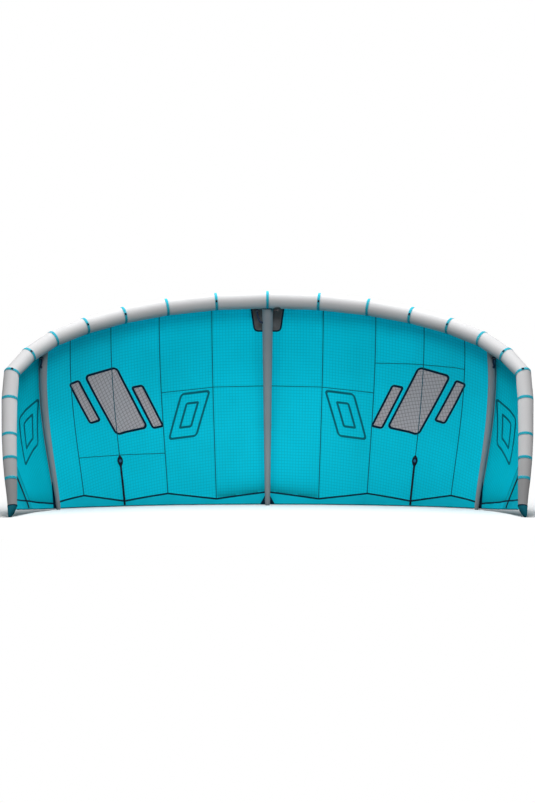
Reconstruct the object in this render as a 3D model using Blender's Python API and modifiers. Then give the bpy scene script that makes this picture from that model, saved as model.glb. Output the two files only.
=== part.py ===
"""A three-strut inflatable kitesurfing kite, standing on its trailing edge.

Metres, +Z up. X runs along the span, the struts are on the side that faces -Y,
and the tips curl towards -Y. A station counts the seam bands of the leading
edge from the centre, which is 0, and is negative on the left half. A chord
share runs from 0 at the leading edge to 1 at the trailing edge.
"""

import math

import bmesh
import bpy
from mathutils import Matrix, Vector

SIDES = (("left", -1), ("right", 1))

# Steps for directions on the curves, in stations and in chord shares
STATION_STEP = 0.01
CHORD_STEP = 0.004
ROUNDING = 1e-6
SEAM_TRIES = 4
SHARP_ANGLE = math.radians(32)

# Overall shape
HALF_SPAN = 2.25
AXIS_HEIGHT = 1.94
PLAN_DEPTH = 1.445
BACK_SHIFT = 0.6605
TUBE_RADIUS = 0.0813
CAMBER_SHARE = 0.06
TIP_CAMBER_SHARE = 0.03
CAMBER_FADE_STATION = 3.0
TAIL_POWER = 1.6

# Seam bands, centre to tip: across, depth, height and radius of the tube
BAND_SHARES = (
    (0.0, 0.0, 1.0, 1.0),
    (0.216, 0.017, 0.99, 0.99),
    (0.421, 0.063, 0.961, 0.975),
    (0.596, 0.15, 0.918, 0.95),
    (0.745, 0.271, 0.862, 0.92),
    (0.864, 0.398, 0.796, 0.895),
    (0.948, 0.534, 0.718, 0.875),
    (1.0, 0.664, 0.633, 0.85),
    (1.001, 0.737, 0.514, 0.82),
    (0.991, 0.834, 0.353, 0.77),
    (0.982, 0.895, 0.251, 0.72),
    (0.973, 0.94, 0.164, 0.64),
    (0.961, 1.0, 0.046, 0.48),
)
# The trailing edge opposite each seam band: across, depth and height
TAIL_SHARES = (
    (0.0, 0.0, 0.003),
    (0.2, 0.017, 0.003),
    (0.39, 0.064, 0.003),
    (0.553, 0.139, 0.003),
    (0.698, 0.236, 0.003),
    (0.832, 0.376, 0.004),
    (0.871, 0.5, 0.008),
    (0.901, 0.601, 0.012),
    (0.917, 0.692, 0.017),
    (0.93, 0.797, 0.022),
    (0.936, 0.865, 0.026),
    (0.942, 0.917, 0.029),
    (0.948, 0.962, 0.031),
)
LAST_STATION = len(BAND_SHARES) - 1

# Cloth, tubes and the running gap between pieces
GAP = 0.0003
SEAM_GAP = 0.0005
CLOTH = 0.001
TAIL_CLOTH = 0.0016
PATCH_CLOTH = 0.0008
SLEEVE_WALL = 0.001
BLADDER_WALL = 0.0006
BAND_WIDTH = 0.028
BAND_RISE = 0.0012
BAND_EDGE = 0.0015
CUT_OVERRUN = 0.004
ROD_SIDES = 16
SCREW_MERGE = 0.00001

# Canopy seams between the strips, in stations, and how finely a strip is laid
SEAM_STATIONS = (0.0, 1.07, 2.13, 3.24, 4.31, 5.25, 8.0, 12.0)
STRIP_NAMES = ("centre", "inner", "middle", "outer", "strut_side", "tip_side", "tip")
STRIP_ROWS = 9
ROW_POWER = 1.3
STRIP_COLUMN_STATIONS = 0.5
TAIL_BAND_STATIONS = (0.0, 1.07, 2.13, 3.24, 4.31, 5.25, 8.0, 10.0, 12.0)
TAIL_BAND_HEIGHTS = (0.119, 0.055, 0.11, 0.048, 0.109, 0.045, 0.075, 0.09, 0.1)
TAIL_BAND_MOST_SHARE = 0.6

# Leading edge tube: the sleeve is sewn from these lengths
SLEEVE_SPLITS = (2, 5, 7, 12)
SLEEVE_NAMES = ("centre", "mid", "outer", "tip")
TUBE_SIDES = 16
BLADDER_SIDES = 8
TAB_STATIONS = (1, 3, 4, 6, 7)
TAB_LENGTH = 0.026
TAB_WIDTH = 0.014
TAB_RISE = 0.007
TAB_SUNK = 0.0006
TAB_END_SHARE = 0.6
TIP_CAP_LEAN = 0.026
TIP_CAP_MID_SHARE = 0.72
TIP_CAP_END_SHARE = 0.26
TIP_CAP_MID_HEIGHT = 0.034

# Struts: station, root radius and end radius
SIDE_STRUT_STATION = 5.25
CENTRE_STRUT_RADII = (0.053, 0.024)
SIDE_STRUT_RADII = (0.038, 0.019)
STRUT_SIDES = 12
STRUT_SEAT = PATCH_CLOTH + 3 * GAP
STRUT_CAP_HEIGHT = 0.034
STRUT_CAP_END_SHARE = 0.62
STRUT_CAP_MID_HEIGHT = 0.01
STRUT_CAP_MID_SHARE = 0.9
STRUT_START = 0.05
STRUT_BLADDER_START = 0.15
STRUT_MOUTH_REACH_SHARE = 1.6

# Patch that reinforces the centre strut's root: half widths, and place along the chord
ROOT_PATCH_START = 0.085
ROOT_PATCH_LENGTH = 0.225
ROOT_PATCH_TOP = 0.156
ROOT_PATCH_FOOT = 0.123
ROOT_PATCH_CORNER = 0.035
ROOT_PATCH_ROWS = 7
ROOT_PATCH_COLUMNS = 4

# Battens and their pockets
BATTEN_STATIONS = (3.24, 8.5)
BATTEN_NAMES = ("mid", "tip")
BATTEN_WIDTH = 0.008
BATTEN_THICKNESS = 0.0016
POCKET_WALL = 0.0006
POCKET_WIDTH = 0.016
POCKET_DROP_WIDTHS = (0.05, 0.042)
POCKET_DROP_LENGTH = 0.1
POCKET_TIP = 0.009
DROP_SHAPE_SHARES = ((0.0, 0.2), (0.25, 0.8), (0.5, 1.0), (0.75, 0.8), (1.0, 0.36))
POCKET_LENGTHS = (0.46, 0.46)
POCKET_TAIL = 0.012
POCKET_SEAT = 0.0002

# One-pump hoses between the leading edge and each strut
HOSE_RADIUS = 0.0085
HOSE_WALL = 0.0015
HOSE_FLAT_HALF_WIDTH = 0.0125
HOSE_FLAT_HALF_HEIGHT = 0.0021
HOSE_FLANGE_RADIUS = 0.0125
HOSE_FLANGE_THICKNESS = 0.002
HOSE_SIDES = 8
HOSE_PORT_TURN = math.radians(85)
HOSE_CENTRE_CLEARANCE = 0.045
HOSE_SIDE_CLEARANCE = 0.07
HOSE_CLIP_AT = 0.03
HOSE_FLAT_REACH = 0.009
HOSE_ROUND_REACH = 0.018
HOSE_STRAIGHT = 0.05
HOSE_BEND_REACH = 0.03
HOSE_BEND_STEPS = 5
HOSE_STRUT_FACET = 3
HOSE_STRUT_AT = 0.225

# Pinch clips on the hoses
CLIP_LENGTH = 0.042
CLIP_WIDTH = 0.014
CLIP_PLATE = 0.0026
CLIP_EAR_WIDTH = 0.003
CLIP_PIN_RADIUS = 0.0016
CLIP_BARREL_RADIUS = 0.0034
CLIP_HOOK = 0.0024
CLIP_RIB = 0.001

# Inflation valve under the leading edge, right of the centre strut
VALVE_ACROSS = 0.095
VALVE_FLANGE_RADIUS = 0.03
VALVE_FLANGE_THICKNESS = 0.0025
VALVE_NECK_RADIUS = 0.018
VALVE_NECK_LENGTH = 0.014
VALVE_BORE_RADIUS = 0.0145
INSERT_RIM_RADIUS = 0.0178
INSERT_RIM_THICKNESS = 0.004
INSERT_DEPTH = 0.012
INSERT_BORE_RADIUS = 0.0085
INSERT_SEAT_RADIUS = 0.0045
INSERT_SEAT_THICKNESS = 0.0015
INSERT_NOTCHES = 8
INSERT_NOTCH_RADIUS = 0.002
INSERT_NOTCH_TURN_SHARE = 0.37
INSERT_NOTCH_SIDES = 8
BLADDER_PORT_DEPTH = 0.016
CAP_RADIUS = 0.0205
CAP_THICKNESS = 0.0025
CAP_PLUG_DEPTH = 0.004
CAP_PLUG_CLEARANCE = 0.0005
CAP_LIP = 0.004
CAP_STEP = 0.0004
HINGE_OUT = 0.0275
HINGE_PIN_RADIUS = 0.0015
HINGE_BARREL_RADIUS = 0.0032
HINGE_BARREL_LENGTH = 0.010
HINGE_EAR_WIDTH = 0.003
ROUND_STEPS = 24


def clear_scene():
    for old in list(bpy.data.objects):
        bpy.data.objects.remove(old, do_unlink=True)


def new_collection(name):
    made = bpy.data.collections.new(name)
    bpy.context.scene.collection.children.link(made)
    return made


def material(name, colour, roughness, metallic=0.0):
    made = bpy.data.materials.new(name)
    made.use_nodes = True
    shader = made.node_tree.nodes["Principled BSDF"]
    shader.inputs["Base Color"].default_value = (*colour, 1.0)
    shader.inputs["Roughness"].default_value = roughness
    shader.inputs["Metallic"].default_value = metallic
    return made


def add_mesh(name, mesh, finish, collection):
    piece = bpy.data.objects.new(name, mesh)
    collection.objects.link(piece)
    if finish:
        mesh.materials.append(finish)
    return piece


# Curves of the kite

def mirrored(point):
    return Vector((-point.x, point.y, point.z))


def placed(shares):
    return Vector(
        (HALF_SPAN * shares[0], BACK_SHIFT - PLAN_DEPTH * shares[1], AXIS_HEIGHT * shares[2])
    )


BAND_CENTRES = [placed(shares) for shares in BAND_SHARES]
BAND_RADII = [TUBE_RADIUS * shares[3] for shares in BAND_SHARES]
TAIL_POINTS = [placed(shares) for shares in TAIL_SHARES]


def straight_between(values, station):
    first = min(int(station), len(values) - 2)
    share = station - first
    return values[first] * (1 - share) + values[first + 1] * share


def tail_point(station):
    """The trailing edge, as one smooth curve through its points."""
    first = min(int(station), LAST_STATION - 1)
    share = station - first
    here, there = TAIL_POINTS[first], TAIL_POINTS[first + 1]
    before = TAIL_POINTS[first - 1] if first else mirrored(TAIL_POINTS[1])
    last = first + 2 > LAST_STATION
    beyond = there * 2 - here if last else TAIL_POINTS[first + 2]
    return (
        here * 2
        + (there - before) * share
        + (before * 2 - here * 5 + there * 4 - beyond) * share**2
        + (here * 3 - before - there * 3 + beyond) * share**3
    ) / 2


def camber_shape(chord_share):
    """Height of the section above its chord, as a share of its highest point."""
    peak = 1 / (1 + TAIL_POWER)
    highest = peak * (1 - peak) ** TAIL_POWER
    return chord_share * (1 - chord_share) ** TAIL_POWER / highest


def camber_start():
    """Slope of camber_shape at the leading edge."""
    peak = 1 / (1 + TAIL_POWER)
    return 1 / (peak * (1 - peak) ** TAIL_POWER)


def camber_of(station):
    fade = (station - CAMBER_FADE_STATION) / (LAST_STATION - CAMBER_FADE_STATION)
    fade = min(max(fade, 0.0), 1.0)
    return CAMBER_SHARE + (TIP_CAMBER_SHARE - CAMBER_SHARE) * fade


def band_axis(index):
    """Direction of the tube at a seam band, half way between its two lengths."""
    here = BAND_CENTRES[index]
    before = BAND_CENTRES[index - 1] if index else mirrored(BAND_CENTRES[1])
    inner = (here - before).normalized()
    if index == LAST_STATION:
        return inner
    return (inner + (BAND_CENTRES[index + 1] - here).normalized()).normalized()


def tail_direction(index):
    low = max(index - 1, 0)
    high = min(index + 1, LAST_STATION)
    return (TAIL_POINTS[high] - TAIL_POINTS[low]).normalized()


def outward_at(index):
    """The way the canopy bulges at a seam band."""
    along = band_axis(index) + tail_direction(index)
    chord = TAIL_POINTS[index] - BAND_CENTRES[index]
    outward = along.cross(chord)
    if index == 0:
        outward.x = 0
    return outward.normalized()


OUTWARD = [outward_at(index) for index in range(LAST_STATION + 1)]
SEAM_RISE = BAND_RISE + GAP + CLOTH / 2


def seam_direction(index):
    """The way out of the tube at which the canopy leaves it."""
    centre, axis = BAND_CENTRES[index], band_axis(index)
    out = OUTWARD[index]
    for _ in range(SEAM_TRIES):
        start = centre + out * (BAND_RADII[index] + SEAM_RISE)
        chord = TAIL_POINTS[index] - start
        rise = OUTWARD[index] * (camber_of(index) * chord.length * camber_start())
        out = axis.cross(chord + rise).normalized()
    return out


def untwisted_frames():
    """Two directions across the tube at each band, turning as little as they can."""
    first = seam_direction(0)
    frames = []
    for index in range(LAST_STATION + 1):
        axis = band_axis(index)
        first = (first - axis * first.dot(axis)).normalized()
        frames.append((first, first.cross(axis).normalized()))
    return frames


FRAMES = untwisted_frames()


def seam_turn_at(index):
    out = seam_direction(index)
    return math.atan2(out.dot(FRAMES[index][1]), out.dot(FRAMES[index][0]))


SEAM_TURNS = [seam_turn_at(index) for index in range(LAST_STATION + 1)]


def band_point(index, turn, rise):
    first, second = FRAMES[index]
    way = first * math.cos(turn) + second * math.sin(turn)
    return BAND_CENTRES[index] + way * (BAND_RADII[index] + rise)


def tube_point(station, turn, rise=0.0):
    """A point on the leading edge tube, at a turn round it."""
    size = abs(station)
    first = min(int(size), LAST_STATION - 1)
    share = size - first
    point = band_point(first, turn, rise) * (1 - share)
    point += band_point(first + 1, turn, rise) * share
    return mirrored(point) if station < 0 else point


def canopy_point(station, chord_share):
    """A point in the middle of the canopy's cloth."""
    size = abs(station)
    start = tube_point(size, straight_between(SEAM_TURNS, size), SEAM_RISE)
    chord = tail_point(size) - start
    outward = straight_between(OUTWARD, size).normalized()
    rise = camber_of(size) * chord.length * camber_shape(chord_share)
    point = start + chord * chord_share + outward * rise
    return mirrored(point) if station < 0 else point


def canopy_frame(station, chord_share):
    """Directions along the chord, out of the cloth and across the chord."""
    high = min(chord_share + CHORD_STEP, 1.0)
    low = max(chord_share - CHORD_STEP, 0.0)
    along = canopy_point(station, high) - canopy_point(station, low)
    along.normalize()
    across = canopy_point(station + STATION_STEP, chord_share)
    across -= canopy_point(station - STATION_STEP, chord_share)
    out = across.cross(along).normalized()
    if station == 0:
        out.x = 0
        out.normalize()
    return along, out, along.cross(out).normalized()


def tail_band_height(station):
    """Height of the trailing edge band, which has a zigzag upper edge."""
    size = abs(station)
    pairs = list(zip(TAIL_BAND_STATIONS, TAIL_BAND_HEIGHTS))
    for (low, first), (high, second) in zip(pairs, pairs[1:]):
        if size <= high:
            height = first + (second - first) * (size - low) / (high - low)
            return min(height, TAIL_BAND_MOST_SHARE * chord_length(station))
    return pairs[-1][1]


def tail_band_share(station, above=0.0):
    return 1 - (tail_band_height(station) + above) / chord_length(station)


def row_share(row):
    """Rows of the canopy's cloth lie closer together near the leading edge."""
    return (row / STRIP_ROWS) ** ROW_POWER


def laid_rows(station):
    """Chord shares of the rows at which the cloth is laid, to the trailing edge."""
    tail = tail_band_share(station)
    return [row_share(row) * tail for row in range(STRIP_ROWS + 1)] + [1.0]


def columns_between(low, high):
    """Stations across a strip, with the seam bands between its ends."""
    bands = [band for band in range(LAST_STATION) if low + STATION_STEP < band < high]
    marks = [low, *[band for band in bands if band < high - STATION_STEP], high]
    found = [low]
    for near, far in zip(marks, marks[1:]):
        count = max(1, round((far - near) / STRIP_COLUMN_STATIONS))
        found += [near + (far - near) * i / count for i in range(1, count + 1)]
    return found


def laid_columns():
    found = [SEAM_STATIONS[0]]
    for low, high in zip(SEAM_STATIONS, SEAM_STATIONS[1:]):
        found += columns_between(low, high)[1:]
    return found


def laid_point(station, chord_share):
    """A point on the cloth as it is laid, in flat facets between its rows."""
    size = min(abs(station), LAST_STATION - STATION_STEP)
    columns = laid_columns()
    far = next(i for i, column in enumerate(columns) if column > size)
    rows = laid_rows(size)
    row = max(i for i, share in enumerate(rows[:-1]) if share <= chord_share + ROUNDING)
    down = (chord_share - rows[row]) / (rows[row + 1] - rows[row])
    across = (size - columns[far - 1]) / (columns[far] - columns[far - 1])
    corners = []
    for column in (columns[far - 1], columns[far]):
        shares = laid_rows(column)
        corners.append([canopy_point(column, shares[row + i]) for i in (0, 1)])
    (upper, lower), (upper_far, lower_far) = corners
    if across > down:
        point = upper + (upper_far - upper) * across + (lower_far - upper_far) * down
    else:
        point = upper + (lower - upper) * down + (lower_far - lower) * across
    return mirrored(point) if station < 0 else point


def laid_frame(station, chord_share):
    """Directions along the chord, out of the cloth and across, on its facet."""
    up = max(chord_share - CHORD_STEP, 0.0)
    along = (laid_point(station, up + CHORD_STEP) - laid_point(station, up)).normalized()
    across = laid_point(station + STATION_STEP, chord_share)
    across = across - laid_point(station - STATION_STEP, chord_share)
    out = across.cross(along).normalized()
    return along, out, along.cross(out).normalized()


def chord_length(station):
    return (canopy_point(station, 1.0) - canopy_point(station, 0.0)).length


def stations_for(length, station, chord_share=0.5):
    """How many stations a length across the canopy spans there."""
    here = canopy_point(station, chord_share)
    there = canopy_point(station + STATION_STEP, chord_share)
    return length * STATION_STEP / (there - here).length


def tube_stations_for(length, station):
    size = abs(station)
    first = min(int(size), LAST_STATION - 1)
    return length / (BAND_CENTRES[first + 1] - BAND_CENTRES[first]).length


# Building blocks

def finish_mesh(name, work):
    bmesh.ops.recalc_face_normals(work, faces=work.faces)
    mesh = bpy.data.meshes.new(name)
    work.to_mesh(mesh)
    work.free()
    return mesh


def sided(rings, sign):
    """The rings as they are on the right, or mirrored for the left."""
    if sign > 0:
        return rings
    return [[mirrored(point) for point in points] for points in rings]


def join_rings(work, near, far, closed=True):
    """Triangles between two rows of vertices, all split the same way."""
    count = len(near)
    for i in range(count if closed else count - 1):
        j = (i + 1) % count
        work.faces.new((near[i], near[j], far[j]))
        work.faces.new((near[i], far[j], far[i]))


def smooth_piece(name, work, finish, collection):
    piece = add_mesh(name, finish_mesh(name, work), finish, collection)
    piece.data.shade_smooth()
    piece.data.set_sharp_from_angle(angle=SHARP_ANGLE)
    return piece


def lofted(name, rings, finish, collection):
    """A solid through rings of points, closed at its ends."""
    work = bmesh.new()
    rows = [[work.verts.new(point) for point in points] for points in rings]
    for near, far in zip(rows, rows[1:]):
        join_rings(work, near, far)
    work.faces.new(rows[0])
    work.faces.new(rows[-1])
    return smooth_piece(name, work, finish, collection)


def walled(name, outer, inner, finish, collection, cup=False):
    """A tube with a wall between outer and inner rings, or a cup closed at its end."""
    work = bmesh.new()
    shells = [
        [[work.verts.new(point) for point in points] for points in rings]
        for rings in (outer, inner)
    ]
    for rows in shells:
        for near, far in zip(rows, rows[1:]):
            join_rings(work, near, far)
    outside, inside = shells
    join_rings(work, outside[0], inside[0])
    if cup:
        work.faces.new(outside[-1])
        work.faces.new(inside[-1])
    else:
        join_rings(work, outside[-1], inside[-1])
    return smooth_piece(name, work, finish, collection)


def cloth(name, rows, thickness, finish, collection):
    """A sheet through rows of points, given its thickness by Solidify."""
    work = bmesh.new()
    grid = [[work.verts.new(point) for point in row] for row in rows]
    for near, far in zip(grid, grid[1:]):
        join_rings(work, near, far, closed=False)
    piece = add_mesh(name, finish_mesh(name, work), finish, collection)
    wall = piece.modifiers.new("thickness", "SOLIDIFY")
    wall.thickness = thickness
    wall.offset = 0
    piece.data.shade_smooth()
    return piece


def turned(name, profile, finish, collection, place=None):
    """A turned piece: the profile is (radius, height), down its outer side."""
    work = bmesh.new()
    verts = [work.verts.new((radius, 0, height)) for radius, height in profile]
    for i in range(len(verts)):
        work.edges.new((verts[i], verts[(i + 1) % len(verts)]))
    mesh = bpy.data.meshes.new(name)
    work.to_mesh(mesh)
    work.free()
    piece = add_mesh(name, mesh, finish, collection)
    spin = piece.modifiers.new("turn", "SCREW")
    spin.steps = spin.render_steps = ROUND_STEPS
    spin.use_merge_vertices = True
    spin.merge_threshold = SCREW_MERGE
    spin.use_normal_calculate = True
    if place:
        piece.matrix_world = place
    return piece


def block(name, low, high, finish, collection, place=None):
    """A box between two corners of its own frame."""
    work = bmesh.new()
    bmesh.ops.create_cube(work, size=1.0)
    size = Vector(high) - Vector(low)
    bmesh.ops.scale(work, vec=size, verts=work.verts)
    bmesh.ops.translate(work, vec=(Vector(high) + Vector(low)) / 2, verts=work.verts)
    piece = add_mesh(name, finish_mesh(name, work), finish, collection)
    if place:
        piece.matrix_world = place
    return piece


def rod(name, start, end, radius, finish, collection, place=None, sides=ROD_SIDES):
    """A cylinder from start to end in its own frame."""
    work = bmesh.new()
    way = Vector(end) - Vector(start)
    turn = Vector((0, 0, 1)).rotation_difference(way).to_matrix().to_4x4()
    middle = Matrix.Translation((Vector(start) + Vector(end)) / 2)
    bmesh.ops.create_cone(
        work, cap_ends=True, segments=sides, radius1=radius, radius2=radius,
        depth=way.length, matrix=middle @ turn,
    )
    piece = add_mesh(name, finish_mesh(name, work), finish, collection)
    if place:
        piece.matrix_world = place
    return piece


def boolean(piece, other, operation):
    step = piece.modifiers.new(other.name, "BOOLEAN")
    step.operation = operation
    step.object = other
    other.hide_render = True
    other.display_type = "WIRE"


def ring(centre, first, second, radius, sides, flat=None):
    """Points round a centre; flat is the radius along second, if another."""
    other = radius if flat is None else flat
    points = []
    for i in range(sides):
        turn = 2 * math.pi * i / sides
        points.append(
            centre + first * (radius * math.cos(turn)) + second * (other * math.sin(turn))
        )
    return points


# Leading edge

def tube_ring(station, rise, sides=TUBE_SIDES):
    return [tube_point(station, 2 * math.pi * i / sides, rise) for i in range(sides)]


def sleeve_rings(low, high):
    """Outer rings with the seam bands standing proud, then the inner rings."""
    outer = [tube_ring(low, 0.0)]
    inner = [tube_ring(low, -SLEEVE_WALL)]
    for band in range(math.ceil(low), math.floor(high) + 1):
        if abs(band) == LAST_STATION:
            continue
        inner.append(tube_ring(band, -SLEEVE_WALL))
        for place, rise in (
            (-BAND_WIDTH / 2, 0.0),
            (BAND_EDGE - BAND_WIDTH / 2, BAND_RISE),
            (0.0, BAND_RISE),
            (BAND_WIDTH / 2 - BAND_EDGE, BAND_RISE),
            (BAND_WIDTH / 2, 0.0),
        ):
            middle = band + (STATION_STEP if place > 0 else -STATION_STEP)
            outer.append(tube_ring(band + tube_stations_for(place, middle), rise))
    outer.append(tube_ring(high, 0.0))
    inner.append(tube_ring(high, -SLEEVE_WALL))
    return outer, inner


def facet_turn(turn):
    """The middle of the tube's facet that a turn falls on."""
    step = 2 * math.pi / TUBE_SIDES
    return (math.floor(turn / step) + 0.5) * step


def front_facet(station):
    """The middle of the tube's facet that faces the struts' side, as a turn."""
    step = 2 * math.pi / TUBE_SIDES
    centre = tube_axis(station)
    turns = [step * (i + 0.5) for i in range(TUBE_SIDES)]
    return max(turns, key=lambda turn: centre.y - tube_point(station, turn).y)


def tube_axis(station):
    size = abs(station)
    point = straight_between(BAND_CENTRES, size)
    return mirrored(point) if station < 0 else point


def facet_frame(station, turn, rise):
    """Centre, normal and tangent of the tube's facet at a turn."""
    half = math.pi / TUBE_SIDES
    near = tube_point(station, turn - half, rise)
    far = tube_point(station, turn + half, rise)
    middle = (near + far) / 2
    ahead = tube_point(station + STATION_STEP, turn, rise)
    behind = tube_point(station - STATION_STEP, turn, rise)
    along = (ahead - behind).normalized()
    normal = (far - near).cross(along).normalized()
    if normal.dot(middle - tube_axis(station)) < 0:
        normal = -normal
    return middle, normal, along


def bridle_tab(name, station, sign, collection):
    """A folded webbing tab on a seam band, where a bridle line is tied."""
    middle, normal, along = facet_frame(station, front_facet(station), BAND_RISE)
    across = normal.cross(along).normalized()
    half = TAB_LENGTH / 2
    rings = []
    for height, share in (
        (-TAB_SUNK, 1.0), (TAB_RISE / 2, 1.0), (TAB_RISE, TAB_END_SHARE),
    ):
        centre = middle + normal * height
        length = across * (half * share)
        width = along * (TAB_WIDTH / 2 * share)
        rings.append(
            [centre - length - width, centre + length - width,
             centre + length + width, centre - length + width]
        )
    return lofted(name, sided(rings, sign), None, collection)


def build_sleeves(finish, parts, cutters):
    beyond = BAND_WIDTH
    starts = [0.0]
    for station in SLEEVE_SPLITS[:-1]:
        starts.append(station + tube_stations_for(beyond, station))
    starts.append(float(LAST_STATION))
    made = {}
    for i, name in enumerate(SLEEVE_NAMES):
        high = starts[i + 1]
        low = starts[i] + tube_stations_for(GAP, starts[i]) if i else -high
        outer, inner = sleeve_rings(low, high)
        if i == 0:
            made["centre"] = walled(
                "leading_edge_sleeve_centre", outer, inner, finish, parts
            )
            continue
        for side, sign in SIDES:
            made[f"{name}_{side}"] = walled(
                f"leading_edge_sleeve_{name}_{side}",
                sided(outer, sign), sided(inner, sign), finish, parts,
            )
    for station in TAB_STATIONS:
        index = next(i for i, split in enumerate(SLEEVE_SPLITS) if station <= split)
        for side, sign in SIDES:
            tab = bridle_tab(f"tab_{station}_{side}", station, sign, cutters)
            key = "centre" if index == 0 else f"{SLEEVE_NAMES[index]}_{side}"
            boolean(made[key], tab, "UNION")
    return made


def build_edge_bladder(finish, parts):
    outside = -(SLEEVE_WALL + 2 * GAP)
    stations = range(-LAST_STATION, LAST_STATION + 1)
    outer = [tube_ring(s, outside, BLADDER_SIDES) for s in stations]
    inner = [tube_ring(s, outside - BLADDER_WALL, BLADDER_SIDES) for s in stations]
    return walled("leading_edge_bladder", outer, inner, finish, parts)


def build_tip_caps(finish, parts):
    """Pointed closures of the two tube ends: cups whose feet reach the floor."""
    axis = band_axis(LAST_STATION)
    end = tube_axis(LAST_STATION) + axis * GAP
    radius = BAND_RADII[-1]
    first, second = FRAMES[-1]
    flat = [Vector((way.x, way.y, 0)).normalized() for way in (first, second)]
    lean = Vector((TIP_CAP_LEAN, 0, 0))
    middle = end + axis * (end.z - TIP_CAP_MID_HEIGHT) + lean / 2
    cups = []
    for inset in (0.0, SLEEVE_WALL):
        foot = Vector((middle.x, middle.y, inset)) + lean / 2
        cups.append([
            [point + axis * GAP for point in tube_ring(LAST_STATION, -inset)],
            ring(middle, first, second, radius * TIP_CAP_MID_SHARE - inset, TUBE_SIDES),
            ring(foot, *flat, radius * TIP_CAP_END_SHARE - inset, TUBE_SIDES),
        ])
    for side, sign in SIDES:
        outer, inner = (sided(cup, sign) for cup in cups)
        walled(f"tip_cap_{side}", outer, inner, finish, parts, cup=True)


# Struts

def strut_radius(radii, chord_share):
    return radii[0] + (radii[1] - radii[0]) * chord_share


def strut_centre(station, radii, chord_share):
    _, out, _ = canopy_frame(station, chord_share)
    drop = CLOTH / 2 + STRUT_SEAT + strut_radius(radii, chord_share)
    return laid_point(station, chord_share) - out * drop


def strut_ring(station, radii, chord_share, inset=0.0):
    _, out, across = canopy_frame(station, chord_share)
    centre = strut_centre(station, radii, chord_share)
    return ring(centre, out, across, strut_radius(radii, chord_share) - inset, STRUT_SIDES)


def strut_shares(station):
    """The rows of the cloth that the strut is sewn to, then its end."""
    start = STRUT_START / chord_length(station)
    rows = [share for share in laid_rows(station)[:-1] if share > start]
    return [start, *rows, strut_end_share(station)]


def strut_shell(station, radii, shares, outside, wall):
    """Outer and inner rings of a tube that lies along the strut."""
    return [
        [strut_ring(station, radii, share, inset) for share in shares]
        for inset in (outside, outside + wall)
    ]


def edge_cutter(name, station, sign, cutters):
    """The leading edge where a strut meets it, to cut the strut's mouth."""
    reach = tube_stations_for(STRUT_MOUTH_REACH_SHARE * TUBE_RADIUS, station)
    rise = BAND_RISE + GAP
    rings = [tube_ring(station + reach * step, rise) for step in (-1, 0, 1)]
    return lofted(name, sided(rings, sign), None, cutters)


def strut_end_share(station):
    return 1 - STRUT_CAP_HEIGHT / chord_length(station)


def strut_cap_cups(station, radii):
    """Outer and inner rings of the closed cup at a strut's end, with a flat foot."""
    end = strut_end_share(station)
    along, out, across = canopy_frame(station, end)
    flat = [Vector((way.x, way.y, 0)).normalized() for way in (out, across)]
    radius = strut_radius(radii, end)
    centre = strut_centre(station, radii, end)
    middle = centre + along * ((centre.z - STRUT_CAP_MID_HEIGHT) / -along.z)
    cups = []
    for inset in (0.0, SLEEVE_WALL):
        foot = Vector((middle.x, middle.y, inset))
        cups.append([
            [point + along * GAP for point in strut_ring(station, radii, end, inset)],
            ring(middle, *flat, radius * STRUT_CAP_MID_SHARE - inset, STRUT_SIDES),
            ring(foot, *flat, radius * STRUT_CAP_END_SHARE - inset, STRUT_SIDES),
        ])
    return cups


def build_strut(name, station, radii, sign, finishes, parts, cutters):
    shares = strut_shares(station)
    outer, inner = strut_shell(station, radii, shares, 0.0, SLEEVE_WALL)
    sleeve = walled(
        f"strut_sleeve_{name}", sided(outer, sign), sided(inner, sign),
        finishes["strut"], parts,
    )
    boolean(sleeve, edge_cutter(f"strut_mouth_{name}", station, sign, cutters), "DIFFERENCE")
    start = STRUT_BLADDER_START / chord_length(station)
    inside = [share for share in shares if share > start]
    outer, inner = strut_shell(station, radii, inside, SLEEVE_WALL + GAP, BLADDER_WALL)
    walled(
        f"strut_bladder_{name}", sided(outer, sign), sided(inner, sign),
        finishes["bladder"], parts,
    )
    outer, inner = (sided(cup, sign) for cup in strut_cap_cups(station, radii))
    walled(f"strut_end_cap_{name}", outer, inner, finishes["cap"], parts, cup=True)


# Canopy

def build_strips(finish, parts):
    bounds = list(zip(SEAM_STATIONS, SEAM_STATIONS[1:]))
    for name, (low, high) in zip(STRIP_NAMES, bounds):
        near = low + stations_for(SEAM_GAP / 2, low)
        far = high - stations_for(SEAM_GAP / 2, high - STATION_STEP)
        for side, sign in SIDES:
            rows = []
            for row in range(STRIP_ROWS + 1):
                share = row_share(row)
                rows.append([
                    canopy_point(sign * s, share * tail_band_share(s, SEAM_GAP))
                    for s in columns_between(near, far)
                ])
            cloth(f"canopy_{name}_{side}", rows, CLOTH, finish, parts)


def build_tail_bands(finish, parts):
    for name, low, high in (
        ("inner", 0.0, SIDE_STRUT_STATION), ("outer", SIDE_STRUT_STATION, LAST_STATION),
    ):
        near = low + stations_for(SEAM_GAP / 2, low, 1.0)
        far = high - stations_for(SEAM_GAP / 2, high - STATION_STEP, 1.0)
        marks = [near, *[s for s in SEAM_STATIONS if near < s < far], far]
        places = [near]
        for first, second in zip(marks, marks[1:]):
            places += columns_between(first, second)[1:]
        for side, sign in SIDES:
            rows = [
                [canopy_point(sign * s, tail_band_share(s)) for s in places],
                [canopy_point(sign * s, 1.0) for s in places],
            ]
            cloth(f"trailing_edge_band_{name}_{side}", rows, TAIL_CLOTH, finish, parts)


def on_inner_face(station, chord_share, off):
    """A point off the canopy's inner face, on the struts' side."""
    _, out, _ = laid_frame(station, chord_share)
    return laid_point(station, chord_share) - out * (CLOTH / 2 + off)


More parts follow.
